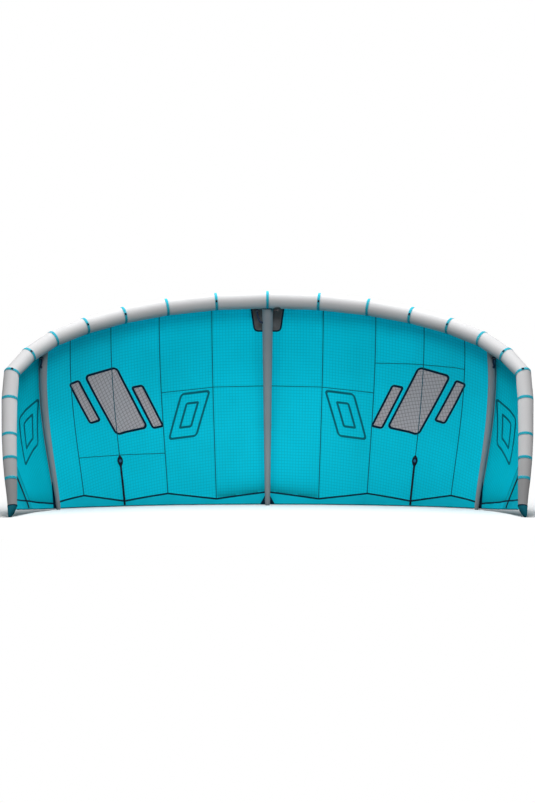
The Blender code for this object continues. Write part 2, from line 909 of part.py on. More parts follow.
def build_root_patch(finish, parts):
    """The cloth patch between the centre strut's root and the canopy."""
    off = GAP + PATCH_CLOTH / 2
    length = chord_length(0.0)
    scale = stations_for(1.0, 0.0, ROOT_PATCH_START / length)
    rows = []
    for row in range(ROOT_PATCH_ROWS + 1):
        share = row / ROOT_PATCH_ROWS
        down = (ROOT_PATCH_START + ROOT_PATCH_LENGTH * share) / length
        left = ROOT_PATCH_LENGTH * (1 - share)
        bend = max(1 - left / ROOT_PATCH_CORNER, 0.0)
        trim = ROOT_PATCH_CORNER * (1 - math.sqrt(1 - bend**2))
        half = ROOT_PATCH_TOP + (ROOT_PATCH_FOOT - ROOT_PATCH_TOP) * share - trim
        rows.append([
            on_inner_face(half * scale * (i / ROOT_PATCH_COLUMNS * 2 - 1), down, off)
            for i in range(ROOT_PATCH_COLUMNS + 1)
        ])
    cloth("strut_root_patch", rows, PATCH_CLOTH, finish, parts)


# Battens

def batten_section(station, chord_share, off, half_width, half_height):
    """A flat section off the canopy's inner face, bent along its middle as the face is."""
    step = stations_for(half_width, station, chord_share)
    low, high = [], []
    for place in (station - step, station, station + step):
        low.append(on_inner_face(place, chord_share, off + half_height))
        high.append(on_inner_face(place, chord_share, off - half_height))
    return low + high[::-1]


def pocket_width(share, drop, widest):
    """Width of a batten pocket, whose front end swells to a drop."""
    for (near, first), (far, second) in zip(DROP_SHAPE_SHARES, DROP_SHAPE_SHARES[1:]):
        if share <= far * drop:
            part = (share / drop - near) / (far - near)
            return max(widest * (first + (second - first) * part), POCKET_TIP)
    return POCKET_WIDTH


def build_battens(finishes, parts):
    base = (TAIL_CLOTH - CLOTH) / 2 + GAP + POCKET_SEAT
    inside = BATTEN_THICKNESS / 2 + GAP
    off = base + POCKET_WALL + inside
    plans = zip(BATTEN_NAMES, BATTEN_STATIONS, POCKET_LENGTHS, POCKET_DROP_WIDTHS)
    for name, station, whole, widest in plans:
        length = chord_length(station)
        end = 1 - POCKET_TAIL / length
        start = end - whole / length
        drop = POCKET_DROP_LENGTH / length
        shares = {start, end}
        shares |= {start + near * drop for near, _ in DROP_SHAPE_SHARES}
        shares |= {share for share in laid_rows(station) if start < share < end}
        outer, inner, rings = [], [], []
        for share in sorted(shares):
            width = pocket_width(share - start, drop, widest)
            slim = min(BATTEN_WIDTH, width - 2 * POCKET_WALL - 2 * GAP)
            outer.append(batten_section(station, share, off, width / 2, inside + POCKET_WALL))
            inner.append(batten_section(station, share, off, width / 2 - POCKET_WALL, inside))
            rings.append(batten_section(station, share, off, slim / 2, BATTEN_THICKNESS / 2))
        for side, sign in SIDES:
            walled(
                f"batten_pocket_{name}_{side}", sided(outer, sign), sided(inner, sign),
                finishes["pocket"], parts,
            )
            lofted(f"batten_{name}_{side}", sided(rings, sign), finishes["batten"], parts)


# Hoses and their clips

def strut_facet(station, radii):
    """A point on the strut's facet that its hose enters, and its normal."""
    entry = HOSE_STRUT_AT / chord_length(station)
    shares = strut_shares(station)
    row = max(i for i, share in enumerate(shares) if share <= entry)
    first, second = HOSE_STRUT_FACET, HOSE_STRUT_FACET + 1
    upper, lower = (strut_ring(station, radii, share) for share in shares[row:row + 2])
    top, foot = (upper[first] + upper[second]) / 2, (lower[first] + lower[second]) / 2
    normal = (upper[second] - upper[first]).cross(foot - top).normalized()
    if normal.x < 0:
        normal = -normal
    return top.lerp(foot, (entry - shares[row]) / (shares[row + 1] - shares[row])), normal


def hose_ends(station, radii):
    """Where a hose starts on the tube and ends on its strut, with its directions."""
    clearance = HOSE_SIDE_CLEARANCE if station else HOSE_CENTRE_CLEARANCE
    away = strut_radius(radii, 0.0) + clearance
    port = station + tube_stations_for(away, station)
    turn = facet_turn(straight_between(SEAM_TURNS, port) + HOSE_PORT_TURN)
    start, leaving, _ = facet_frame(port, turn, 0.0)
    end, to_side = strut_facet(station, radii)
    return start + leaving * GAP, leaving, end + to_side * GAP, -to_side


def bent_between(points, share):
    """Point and direction on a cubic curve with four control points."""
    first, second, third, last = points
    rest = 1 - share
    point = (
        first * rest**3 + second * (3 * rest**2 * share)
        + third * (3 * rest * share**2) + last * share**3
    )
    way = (
        (second - first) * rest**2 + (third - second) * (2 * rest * share)
        + (last - third) * share**2
    )
    return point, way.normalized()


def hose_course(ends):
    """Centre, direction and flatness of each ring: straight past the clip, then a bend."""
    start, leaving, end, arriving = ends
    course = [
        (start + leaving * far, leaving, flat)
        for far, flat in (
            (0.0, 0.0),
            (HOSE_CLIP_AT - HOSE_ROUND_REACH, 0.0),
            (HOSE_CLIP_AT - HOSE_FLAT_REACH, 1.0),
            (HOSE_CLIP_AT + HOSE_FLAT_REACH, 1.0),
            (HOSE_CLIP_AT + HOSE_ROUND_REACH, 0.0),
            (HOSE_STRAIGHT, 0.0),
        )
    ]
    turning = start + leaving * HOSE_STRAIGHT
    points = (
        turning, turning + leaving * HOSE_BEND_REACH, end - arriving * HOSE_BEND_REACH, end,
    )
    for i in range(1, HOSE_BEND_STEPS + 1):
        course.append((*bent_between(points, i / HOSE_BEND_STEPS), 0.0))
    return course


def hose_ways(along):
    """The way the clip on the hose opens, and the way across the hose."""
    opening = Vector((0, -1, 0))
    opening = (opening - along * opening.dot(along)).normalized()
    return opening, along.cross(opening).normalized()


def hose_section(centre, along, flat, wall):
    """A hose ring, round or pinched flat by its clip."""
    opening, across = hose_ways(along)
    wide = HOSE_RADIUS + (HOSE_FLAT_HALF_WIDTH - HOSE_RADIUS) * flat
    high = HOSE_RADIUS + (HOSE_FLAT_HALF_HEIGHT - HOSE_RADIUS) * flat
    return ring(centre, across, opening, wide - wall, HOSE_SIDES, high - wall)


def flange_rings(centre, along, way):
    """Rings of a hose's end flange, from its face to the hose."""
    opening, across = hose_ways(along)
    raised = centre + way * HOSE_FLANGE_THICKNESS
    return [
        ring(centre, across, opening, HOSE_FLANGE_RADIUS, HOSE_SIDES),
        ring(raised, across, opening, HOSE_FLANGE_RADIUS, HOSE_SIDES),
        ring(raised, across, opening, HOSE_RADIUS, HOSE_SIDES),
    ]


def build_hose(name, station, radii, sign, finish, parts):
    course = hose_course(hose_ends(station, radii))
    outer = [hose_section(*place, 0.0) for place in course]
    inner = [hose_section(*place, HOSE_WALL) for place in course]
    (start, leaving, _), (end, arriving, _) = course[0], course[-1]
    outer = [
        *flange_rings(start, leaving, leaving), *outer[1:-1],
        *flange_rings(end, arriving, -arriving)[::-1],
    ]
    walled(f"pump_hose_{name}", sided(outer, sign), sided(inner, sign), finish, parts)


def clip_place(station, radii, sign):
    """The clip's own frame: X across the hose, Y along it, Z the way it opens."""
    start, leaving, _, _ = hose_ends(station, radii)
    centre = start + leaving * HOSE_CLIP_AT
    opening, across = hose_ways(leaving)
    if sign < 0:
        centre, opening, across = mirrored(centre), mirrored(opening), mirrored(across)
    basis = Matrix((across, opening.cross(across), opening)).transposed().to_4x4()
    return Matrix.Translation(centre) @ basis


def build_clip(name, place, finishes, parts, cutters):
    """A pinch clip: a base with ears and a hook, and a lever on its pin."""
    half = CLIP_LENGTH / 2
    jaw = HOSE_FLAT_HALF_HEIGHT + GAP
    wide = CLIP_WIDTH / 2
    rib = CLIP_RIB
    base = block(
        f"clip_base_{name}", (-half, -wide, -jaw - rib - CLIP_PLATE),
        (half, wide, -jaw - rib), finishes["clip"], parts, place,
    )
    ear_low = wide - CLIP_EAR_WIDTH
    for number, (near, far) in enumerate(((-wide, -ear_low), (ear_low, wide))):
        ear = block(
            f"ear_{number}_{name}", (-half, near, -jaw - rib - CLIP_PLATE / 2),
            (-half + 2 * CLIP_BARREL_RADIUS, far, CLIP_BARREL_RADIUS), None, cutters, place,
        )
        boolean(base, ear, "UNION")
    rib_bar = block(
        f"rib_base_{name}", (-HOSE_FLAT_HALF_WIDTH, -CLIP_RIB, -jaw - rib - CLIP_PLATE / 2),
        (HOSE_FLAT_HALF_WIDTH, CLIP_RIB, -jaw), None, cutters, place,
    )
    boolean(base, rib_bar, "UNION")
    hook_out = half
    post = block(
        f"hook_post_{name}", (hook_out - CLIP_HOOK, -wide, -jaw - rib - CLIP_PLATE / 2),
        (hook_out, wide, jaw + rib + CLIP_PLATE + GAP + CLIP_HOOK), None, cutters, place,
    )
    boolean(base, post, "UNION")
    catch = block(
        f"hook_catch_{name}",
        (hook_out - 2 * CLIP_HOOK, -wide, jaw + rib + CLIP_PLATE + GAP),
        (hook_out - CLIP_HOOK / 2, wide, jaw + rib + CLIP_PLATE + GAP + CLIP_HOOK),
        None, cutters, place,
    )
    boolean(base, catch, "UNION")
    pin_x = -half + CLIP_BARREL_RADIUS
    hole = rod(
        f"pin_hole_{name}", (pin_x, -wide - CUT_OVERRUN, 0), (pin_x, wide + CUT_OVERRUN, 0),
        CLIP_PIN_RADIUS + GAP, None, cutters, place,
    )
    boolean(base, hole, "DIFFERENCE")
    pivot = place @ Matrix.Translation((pin_x, 0, 0))
    inner = ear_low - GAP
    lever = rod(
        f"clip_lever_{name}", (0, -inner, 0), (0, inner, 0),
        CLIP_BARREL_RADIUS, finishes["lever"], parts, pivot,
    )
    pin = rod(
        f"pin_{name}", (0, -wide, 0), (0, wide, 0), CLIP_PIN_RADIUS, None, cutters, pivot,
    )
    boolean(lever, pin, "UNION")
    reach = 2 * half - CLIP_BARREL_RADIUS - CLIP_HOOK - GAP
    plate = block(
        f"lever_plate_{name}", (0, -inner, jaw + rib), (reach, inner, jaw + rib + CLIP_PLATE),
        None, cutters, pivot,
    )
    boolean(lever, plate, "UNION")
    shank = block(
        f"lever_shank_{name}", (-CLIP_BARREL_RADIUS, -inner, 0),
        (CLIP_BARREL_RADIUS, inner, jaw + rib + CLIP_PLATE), None, cutters, pivot,
    )
    boolean(lever, shank, "UNION")
    bar = block(
        f"rib_lever_{name}", (-pin_x - HOSE_FLAT_HALF_WIDTH, -CLIP_RIB, jaw),
        (-pin_x + HOSE_FLAT_HALF_WIDTH, CLIP_RIB, jaw + rib + CLIP_PLATE / 2),
        None, cutters, pivot,
    )
    boolean(lever, bar, "UNION")


# Inflation valve

def valve_frame():
    """The valve hangs under the tube, and its own Z points down out of it."""
    station = tube_stations_for(VALVE_ACROSS, 0.0)
    turns = [2 * math.pi * i / TUBE_SIDES for i in range(TUBE_SIDES)]
    reach = tube_stations_for(VALVE_FLANGE_RADIUS, 0.0)
    lowest = min(
        tube_point(station + reach * step, turn).z for turn in turns for step in (-1, 0, 1)
    )
    centre = tube_axis(station)
    flip = Matrix.Rotation(math.pi, 4, "X")
    return Matrix.Translation((centre.x, centre.y, lowest - GAP)) @ flip, station


def build_valve(finishes, parts, cutters, sleeve, bladder):
    place, station = valve_frame()
    flange, neck = VALVE_FLANGE_RADIUS, VALVE_NECK_RADIUS
    top, low = VALVE_FLANGE_THICKNESS, VALVE_FLANGE_THICKNESS + VALVE_NECK_LENGTH
    bladder_low = max(
        (place.inverted() @ tube_point(station, math.pi * 2 * i / BLADDER_SIDES,
                                       -(SLEEVE_WALL + 2 * GAP))).z
        for i in range(BLADDER_SIDES)
    )
    root = bladder_low + GAP
    bore = VALVE_BORE_RADIUS
    base = turned(
        "valve_base",
        [(bore, low), (neck, low), (neck, top), (flange, top), (flange, 0.0), (neck, 0.0),
         (neck, root), (bore, root)],
        finishes["valve"], parts, place,
    )
    for number, sign in enumerate((-1, 1)):
        near = HINGE_BARREL_LENGTH / 2 + GAP
        far = near + HINGE_EAR_WIDTH
        ear = block(
            f"valve_ear_{number}",
            (-HINGE_OUT - HINGE_BARREL_RADIUS, min(sign * near, sign * far), top / 2),
            (-neck + GAP, max(sign * near, sign * far), valve_pin_height() + HINGE_BARREL_RADIUS),
            None, cutters, place,
        )
        boolean(base, ear, "UNION")
    span = HINGE_BARREL_LENGTH / 2 + GAP + HINGE_EAR_WIDTH
    hole = rod(
        "valve_pin_hole", (-HINGE_OUT, -span - CUT_OVERRUN, valve_pin_height()),
        (-HINGE_OUT, span + CUT_OVERRUN, valve_pin_height()),
        HINGE_PIN_RADIUS + GAP, None, cutters, place,
    )
    boolean(base, hole, "DIFFERENCE")
    rim_low = low + GAP
    rim_top = rim_low + INSERT_RIM_THICKNESS
    outer = bore - GAP
    foot = low - INSERT_DEPTH
    insert = turned(
        "valve_insert",
        [(INSERT_BORE_RADIUS, rim_top), (INSERT_RIM_RADIUS, rim_top),
         (INSERT_RIM_RADIUS, rim_low), (outer, rim_low), (outer, foot),
         (INSERT_SEAT_RADIUS, foot), (INSERT_SEAT_RADIUS, foot + INSERT_SEAT_THICKNESS),
         (INSERT_BORE_RADIUS, foot + INSERT_SEAT_THICKNESS)],
        finishes["insert"], parts, place,
    )
    for number in range(INSERT_NOTCHES):
        turn = 2 * math.pi * (number + INSERT_NOTCH_TURN_SHARE) / INSERT_NOTCHES
        x = INSERT_RIM_RADIUS * math.cos(turn)
        y = INSERT_RIM_RADIUS * math.sin(turn)
        notch = rod(
            f"insert_notch_{number}", (x, y, rim_low - CUT_OVERRUN), (x, y, rim_top + CUT_OVERRUN),
            INSERT_NOTCH_RADIUS, None, cutters, place, INSERT_NOTCH_SIDES,
        )
        boolean(insert, notch, "DIFFERENCE")
    pivot = place @ Matrix.Translation((-HINGE_OUT, 0, valve_pin_height()))
    lid_low = rim_top + GAP - valve_pin_height()
    lid_top = lid_low + CAP_THICKNESS
    plug = INSERT_BORE_RADIUS - CAP_PLUG_CLEARANCE
    step = CAP_STEP
    arm = HINGE_BARREL_RADIUS - step
    arm_half = HINGE_BARREL_LENGTH / 2 - step
    strap_half = arm_half - step
    cap = rod(
        "valve_cap", (0, -HINGE_BARREL_LENGTH / 2, 0), (0, HINGE_BARREL_LENGTH / 2, 0),
        HINGE_BARREL_RADIUS, finishes["insert"], parts, pivot,
    )
    pieces = [
        rod("cap_pin", (0, -span, 0), (0, span, 0), HINGE_PIN_RADIUS, None, cutters, pivot),
        rod("cap_lid", (HINGE_OUT, 0, lid_low), (HINGE_OUT, 0, lid_top), CAP_RADIUS,
            None, cutters, pivot, ROUND_STEPS),
        rod("cap_plug", (HINGE_OUT, 0, lid_low - CAP_PLUG_DEPTH),
            (HINGE_OUT, 0, lid_low + CAP_THICKNESS / 2), plug, None, cutters, pivot, ROUND_STEPS),
        block("cap_arm", (-arm, -arm_half, 0), (arm, arm_half, lid_top - step),
              None, cutters, pivot),
        block("cap_strap", (0, -strap_half, lid_low + step),
              (HINGE_OUT, strap_half, lid_top - 2 * step), None, cutters, pivot),
        block("cap_tongue", (HINGE_OUT, -CAP_LIP, lid_low + step),
              (HINGE_OUT + CAP_RADIUS + CAP_LIP, CAP_LIP, lid_top - step),
              None, cutters, pivot),
    ]
    for piece in pieces:
        boolean(cap, piece, "UNION")
    opening = rod(
        "valve_hole", (0, 0, root - BLADDER_PORT_DEPTH), (0, 0, CUT_OVERRUN),
        neck + GAP, None, cutters, place, ROUND_STEPS,
    )
    boolean(sleeve, opening, "DIFFERENCE")
    port = rod(
        "bladder_port", (0, 0, root - BLADDER_PORT_DEPTH), (0, 0, CUT_OVERRUN),
        bore, None, cutters, place, ROUND_STEPS,
    )
    boolean(bladder, port, "DIFFERENCE")


def valve_pin_height():
    """The cap's pin, level with the insert's rim."""
    return VALVE_FLANGE_THICKNESS + VALVE_NECK_LENGTH


def main():
    clear_scene()
    parts = new_collection("kitesurfing_kite")
    cutters = new_collection("cutters")
    finishes = {
        "sleeve": material("white_dacron", (0.62, 0.62, 0.64), 0.55),
        "strut": material("grey_dacron", (0.20, 0.22, 0.23), 0.6),
        "canopy": material("teal_ripstop", (0.01, 0.42, 0.55), 0.5),
        "tail": material("teal_tape", (0.01, 0.30, 0.42), 0.55),
        "patch": material("charcoal_cloth", (0.06, 0.07, 0.07), 0.7),
        "bladder": material("clear_film", (0.7, 0.72, 0.7), 0.3),
        "cap": material("dark_blue_cloth", (0.02, 0.12, 0.18), 0.6),
        "pocket": material("navy_tape", (0.01, 0.03, 0.06), 0.6),
        "batten": material("fibreglass_rod", (0.75, 0.75, 0.65), 0.4),
        "hose": material("black_rubber", (0.03, 0.03, 0.035), 0.55),
        "clip": material("black_plastic", (0.02, 0.02, 0.02), 0.4),
        "lever": material("grey_plastic", (0.25, 0.25, 0.26), 0.4),
        "valve": material("dark_grey_plastic", (0.05, 0.05, 0.055), 0.4),
        "insert": material("pale_grey_plastic", (0.45, 0.45, 0.46), 0.35),
    }
    sleeves = build_sleeves(finishes["sleeve"], parts, cutters)
    bladder = build_edge_bladder(finishes["bladder"], parts)
    build_tip_caps(finishes["cap"], parts)
    build_strips(finishes["canopy"], parts)
    build_tail_bands(finishes["tail"], parts)
    build_root_patch(finishes["patch"], parts)
    build_battens(finishes, parts)
    for name, station, radii, sign in (
        ("centre", 0.0, CENTRE_STRUT_RADII, -1),
        ("left", SIDE_STRUT_STATION, SIDE_STRUT_RADII, -1),
        ("right", SIDE_STRUT_STATION, SIDE_STRUT_RADII, 1),
    ):
        build_strut(name, station, radii, sign, finishes, parts, cutters)
        build_hose(name, station, radii, sign, finishes["hose"], parts)
        place = clip_place(station, radii, sign)
        build_clip(name, place, finishes, parts, cutters)
    build_valve(finishes, parts, cutters, sleeves["centre"], bladder)


main()
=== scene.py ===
"""Cloth, tapes, webbing and hoses of an inflatable kitesurfing kite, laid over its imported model.

Metres. A station counts the seam bands of the leading edge from the centre,
negative on the left, and a share runs down the chord from the leading edge.
"""

import math

import bmesh
import bpy
import numpy as np
from bpy.props import FloatProperty, FloatVectorProperty, IntProperty, PointerProperty
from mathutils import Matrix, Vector


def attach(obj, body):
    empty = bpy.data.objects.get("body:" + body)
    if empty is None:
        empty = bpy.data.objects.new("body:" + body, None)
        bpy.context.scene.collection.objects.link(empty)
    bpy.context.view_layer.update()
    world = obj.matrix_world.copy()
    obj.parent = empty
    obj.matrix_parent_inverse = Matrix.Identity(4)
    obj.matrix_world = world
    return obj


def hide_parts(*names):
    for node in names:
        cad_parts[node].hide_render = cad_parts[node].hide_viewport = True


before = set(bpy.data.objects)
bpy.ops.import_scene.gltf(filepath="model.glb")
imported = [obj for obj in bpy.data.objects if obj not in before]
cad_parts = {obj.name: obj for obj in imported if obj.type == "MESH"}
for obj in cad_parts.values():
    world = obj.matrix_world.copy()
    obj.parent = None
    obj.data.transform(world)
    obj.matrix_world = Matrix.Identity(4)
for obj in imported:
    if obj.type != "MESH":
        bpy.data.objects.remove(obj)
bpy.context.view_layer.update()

bl_info = {
    "name": "Kitesurfing kite",
    "version": (1, 0, 0),
    "blender": (4, 5, 0),
    "location": "3D View > Sidebar > Kite",
    "description": "Cloth, tapes, webbing and hoses for a three-strut inflatable kite",
    "category": "Object",
}

BODY = "kite"
LAY = "lay"
# Mesh attribute with each piece's own colour changes and its painted shade
TONE_AND_PAINTED_SHADE = "tone_and_painted_shade"

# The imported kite's own sizes, which its pieces follow
HALF_SPAN = 2.25
AXIS_HEIGHT = 1.94
PLAN_DEPTH = 1.445
BACK_SHIFT = 0.6605
TUBE_RADIUS = 0.0813
CAMBER_SHARE = 0.06
TIP_CAMBER_SHARE = 0.03
CAMBER_FADE_STATION = 3.0
TAIL_POWER = 1.6
BAND_SHARES = np.array((
    (0.0, 0.0, 1.0, 1.0),
    (0.216, 0.017, 0.99, 0.99),
    (0.421, 0.063, 0.961, 0.975),
    (0.596, 0.15, 0.918, 0.95),
    (0.745, 0.271, 0.862, 0.92),
    (0.864, 0.398, 0.796, 0.895),
    (0.948, 0.534, 0.718, 0.875),
    (1.0, 0.664, 0.633, 0.85),
    (1.001, 0.737, 0.514, 0.82),
    (0.991, 0.834, 0.353, 0.77),
    (0.982, 0.895, 0.251, 0.72),
    (0.973, 0.94, 0.164, 0.64),
    (0.961, 1.0, 0.046, 0.48),
))
TAIL_SHARES = np.array((
    (0.0, 0.0, 0.003),
    (0.2, 0.017, 0.003),
    (0.39, 0.064, 0.003),
    (0.553, 0.139, 0.003),
    (0.698, 0.236, 0.003),
    (0.832, 0.376, 0.004),
    (0.871, 0.5, 0.008),
    (0.901, 0.601, 0.012),
    (0.917, 0.692, 0.017),
    (0.93, 0.797, 0.022),
    (0.936, 0.865, 0.026),
    (0.942, 0.917, 0.029),
    (0.948, 0.962, 0.031),
))
LAST = len(BAND_SHARES) - 1
GAP = 0.0003
CLOTH = 0.001
BAND_RISE = 0.0012
SEAM_RISE = BAND_RISE + GAP + CLOTH / 2
SEAM_TRIES = 4
SEAMS = (0.0, 1.07, 2.13, 3.24, 4.31, 5.25, 8.0, 12.0)
TAIL_BAND_STATIONS = (0.0, 1.07, 2.13, 3.24, 4.31, 5.25, 8.0, 10.0, 12.0)
TAIL_BAND_HEIGHTS = (0.119, 0.055, 0.11, 0.048, 0.109, 0.045, 0.075, 0.09, 0.1)
TAIL_BAND_MOST_SHARE = 0.6
STRUTS = (
    ("centre", 0.0, (0.053, 0.024), 1),
    ("left", 5.25, (0.038, 0.019), -1),
    ("right", 5.25, (0.038, 0.019), 1),
)
STRUT_SEAT = 0.0017
STRUT_CAP_HEIGHT = 0.034
STRUT_CAP_MID_HEIGHT = 0.01
CAP_SHARES = (0.9, 0.62)
TIP_CAP_SHARES = (0.72, 0.26)
TIP_CAP_MID_HEIGHT = 0.034
TIP_CAP_LEAN = 0.026
TAB_STATIONS = (1, 3, 4, 6, 7)
BATTENS = (("mid", 3.24, 0.46, 0.056), ("tip", 8.5, 0.46, 0.044))
BATTEN_TAIL = 0.012
DROP_LENGTH = 0.1
DROP_SHAPE = ((0.0, 0.2), (0.25, 0.8), (0.5, 1.0), (0.75, 0.8), (1.0, 0.36))
PATCH_START, PATCH_LENGTH = 0.085, 0.225
PATCH_TOP, PATCH_FOOT, PATCH_CORNER = 0.156, 0.123, 0.035
VALVE = (0.0948, 0.65571, 1.85713)
HOSES = {
    "centre": ((0.09738, 0.69289, 1.86549), (-0.01001, 0.46708, -0.88416),
               (0.04663, 0.72959, 1.72753), (-0.96589, 0.24957, 0.06907)),
    "right": ((2.04609, 0.00522, 1.39477), (-0.14168, 0.50892, -0.84908),
              (2.04671, 0.0629, 1.28976), (-0.39454, 0.91446, 0.09003)),
}
HOSE_RADIUS, HOSE_FLAT_WIDE, HOSE_FLAT_HIGH = 0.0085, 0.0125, 0.0021
HOSE_CLIP_AT, HOSE_STRAIGHT, HOSE_BEND = 0.03, 0.05, 0.03
HOSE_FLANGE = (0.0125, 0.002)

# Steps of the finer meshes
ROUND = 56
SECTION_STEPS = 16
CLOTH_STEP = 0.02
FINE = 1e-3

# Walls of the sewn pieces, and the lowest that a piece comes to the floor
SLEEVE_WALL = 0.0008
PATCH_WALL = 0.0008
STRIP_WALL = 0.0006
FLOOR_CLEAR = 0.0002

# The canopy's billow, which fades out towards its edges, and the length and reach of its ripples
BILLOW_TOP, BILLOW_FOOT, BILLOW_SIDE = 0.12, 0.1, 0.05
BATTEN_REACH, BATTEN_CLEAR = 0.09, 0.12
SEAM_RIPPLE, SEAM_REACH = 0.055, 0.03
EDGE_RIPPLE, EDGE_REACH = 0.041, 0.05
TAIL_RIPPLE, TAIL_REACH = 0.19, 0.1


class KiteSizes(bpy.types.PropertyGroup):
    """Sizes of the sewn details"""

    cloth: FloatProperty(
        name="Canopy cloth", description="Thickness of the canopy's cloth",
        default=0.001, unit="LENGTH")
    billow: FloatProperty(
        name="Billow", description="How far a canopy strip bulges between its seams",
        default=0.006, unit="LENGTH")
    ripple: FloatProperty(
        name="Ripple", description="Height of the small ripples along the seams",
        default=0.0011, unit="LENGTH")
    seam_tape: FloatProperty(
        name="Seam tape", description="Width of the canopy's seams",
        default=0.0085, unit="LENGTH")
    tail_seam: FloatProperty(
        name="Trailing seam", description="Width of the zigzag seam over the trailing edge",
        default=0.017, unit="LENGTH")
    band: FloatProperty(
        name="Seam band", description="Width of the bands round the leading edge",
        default=0.028, unit="LENGTH")
    band_rise: FloatProperty(
        name="Band height", description="How far a band stands proud of the tube",
        default=0.0018, unit="LENGTH")
    webbing: FloatProperty(
        name="Webbing", description="Width of the folded bridle tabs",
        default=0.016, unit="LENGTH")
    pucker: FloatProperty(
        name="Pucker", description="Height of the sleeve's creases beside a band",
        default=0.0009, unit="LENGTH")
    pocket: FloatProperty(
        name="Batten pocket", description="Width of a batten's pocket",
        default=0.019, unit="LENGTH")
    flange: FloatProperty(
        name="Strut strip", description="Width of the strip that joins a strut to the canopy",
        default=0.044, unit="LENGTH")
    panels: IntProperty(
        name="Rows", description="Rows of the canopy's mesh, leading to trailing edge",
        default=84, min=20)


def colour_property(name, description, default):
    return FloatVectorProperty(
        name=name, description=description, default=default, size=3, subtype="COLOR",
        min=0.0, max=1.0)


class KiteColours(bpy.types.PropertyGroup):
    """Colours of the cloths and tapes"""

    canopy: colour_property("Canopy", "Turquoise sailcloth", (0.001, 0.80, 0.99))
    tail: colour_property("Trailing edge", "Doubled sailcloth", (0.002, 0.68, 0.88))
    tube: colour_property("Leading edge", "White woven polyester", (0.66, 0.66, 0.67))
    strut: colour_property("Struts", "Grey woven polyester", (0.30, 0.34, 0.37))
    band: colour_property("Bands", "Turquoise tape round the tube", (0.02, 0.42, 0.55))
    cap: colour_property("Tip caps", "Deep blue cloth", (0.01, 0.16, 0.22))
    patch: colour_property("Root patch", "Charcoal cloth", (0.18, 0.185, 0.19))
    tape: colour_property("Dark tape", "Seams and outlines", (0.001, 0.02, 0.045))
    seam: colour_property("Seams", "Seams between the canopy's strips", (0.003, 0.1, 0.15))
    webbing: colour_property("Webbing", "Tabs and pockets", (0.006, 0.01, 0.02))
    print_grey: colour_property("Print", "Grey printed bars", (0.62, 0.62, 0.66))
    film: colour_property("Film", "Bladder film", (0.72, 0.75, 0.74))
    rubber: colour_property("Hose", "Dark flexible hose", (0.008, 0.024, 0.065))


# The kite's curves, for arrays of stations

def unit(rows):
    """Rows scaled to length one."""
    return rows / np.linalg.norm(rows, axis=-1, keepdims=True)


def placed(shares):
    """Places in metres from shares of the kite's half width, depth and height."""
    return np.column_stack((
        HALF_SPAN * shares[:, 0], BACK_SHIFT - PLAN_DEPTH * shares[:, 1],
        AXIS_HEIGHT * shares[:, 2]))


MIRROR = np.array((-1.0, 1.0, 1.0))
CENTRES = placed(BAND_SHARES)
RADII = TUBE_RADIUS * BAND_SHARES[:, 3]
TAILS = placed(TAIL_SHARES)


def band_axis(index):
    """Direction of the tube at a seam band, half way between its two lengths."""
    before = CENTRES[index - 1] if index else CENTRES[1] * MIRROR
    inner = unit(CENTRES[index] - before)
    if index == LAST:
        return inner
    return unit(inner + unit(CENTRES[index + 1] - CENTRES[index]))


AXES = np.array([band_axis(index) for index in range(LAST + 1)])


def outward_at(index):
    """The way out of the canopy at a band."""
    low, high = max(index - 1, 0), min(index + 1, LAST)
    along = AXES[index] + unit(TAILS[high] - TAILS[low])
    outward = np.cross(along, TAILS[index] - CENTRES[index])
    if index == 0:
        outward[0] = 0
    return unit(outward)


OUTWARD = np.array([outward_at(index) for index in range(LAST + 1)])


def camber_shape(share):
    """Height of the section above its chord, as a share of its highest point."""
    peak = 1 / (1 + TAIL_POWER)
    highest = peak * (1 - peak) ** TAIL_POWER
    return share * np.clip(1 - share, 0, 1) ** TAIL_POWER / highest


def camber_of(size):
    """Height of the canopy's arch as a share of its chord."""
    fade = np.clip((size - CAMBER_FADE_STATION) / (LAST - CAMBER_FADE_STATION), 0, 1)
    return CAMBER_SHARE + (TIP_CAMBER_SHARE - CAMBER_SHARE) * fade


def seam_direction(index):
    """The way out of the tube at which the canopy leaves it."""
    out = OUTWARD[index]
    slope = camber_shape(FINE) / FINE
    for _ in range(SEAM_TRIES):
        chord = TAILS[index] - CENTRES[index] - out * (RADII[index] + SEAM_RISE)
        rise = OUTWARD[index] * (camber_of(index) * np.linalg.norm(chord) * slope)
        out = unit(np.cross(AXES[index], chord + rise))
    return out


def untwisted():
    """Two directions across the tube at each band, turning as little as they can."""
    first, found = seam_direction(0), []
    for axis in AXES:
        first = unit(first - axis * first.dot(axis))
        found.append((first, unit(np.cross(first, axis))))
    return np.array(found)


FRAMES = untwisted()
SEAM_TURNS = np.array([
    math.atan2(seam_direction(i).dot(FRAMES[i, 1]), seam_direction(i).dot(FRAMES[i, 0]))
    for i in range(LAST + 1)])


def between(rows, size):
    """Rows of a table at places between its whole numbers."""
    size = np.asarray(size, float)
    first = np.clip(size.astype(int), 0, len(rows) - 2)
    share = size - first
    if rows.ndim > 1:
        share = share[..., None]
    return rows[first] * (1 - share) + rows[first + 1] * share


def sided(points, stations):
    """Points of the right half, mirrored where the station is negative."""
    flip = np.where(np.asarray(stations, float)[..., None] < 0, MIRROR, 1.0)
    return points * flip


def tube(stations, turns, rise=0.0):
    """Points on the leading edge tube, at turns round it."""
    stations, turns, rise = np.broadcast_arrays(
        np.asarray(stations, float), np.asarray(turns, float), np.asarray(rise, float))
    size = np.abs(stations)
    first = np.clip(size.astype(int), 0, LAST - 1)
    share = (size - first)[..., None]

    def at(index):
        way = FRAMES[index, 0] * np.cos(turns)[..., None]
        way = way + FRAMES[index, 1] * np.sin(turns)[..., None]
        return CENTRES[index] + way * (RADII[index] + rise)[..., None]

    return sided(at(first) * (1 - share) + at(first + 1) * share, stations)


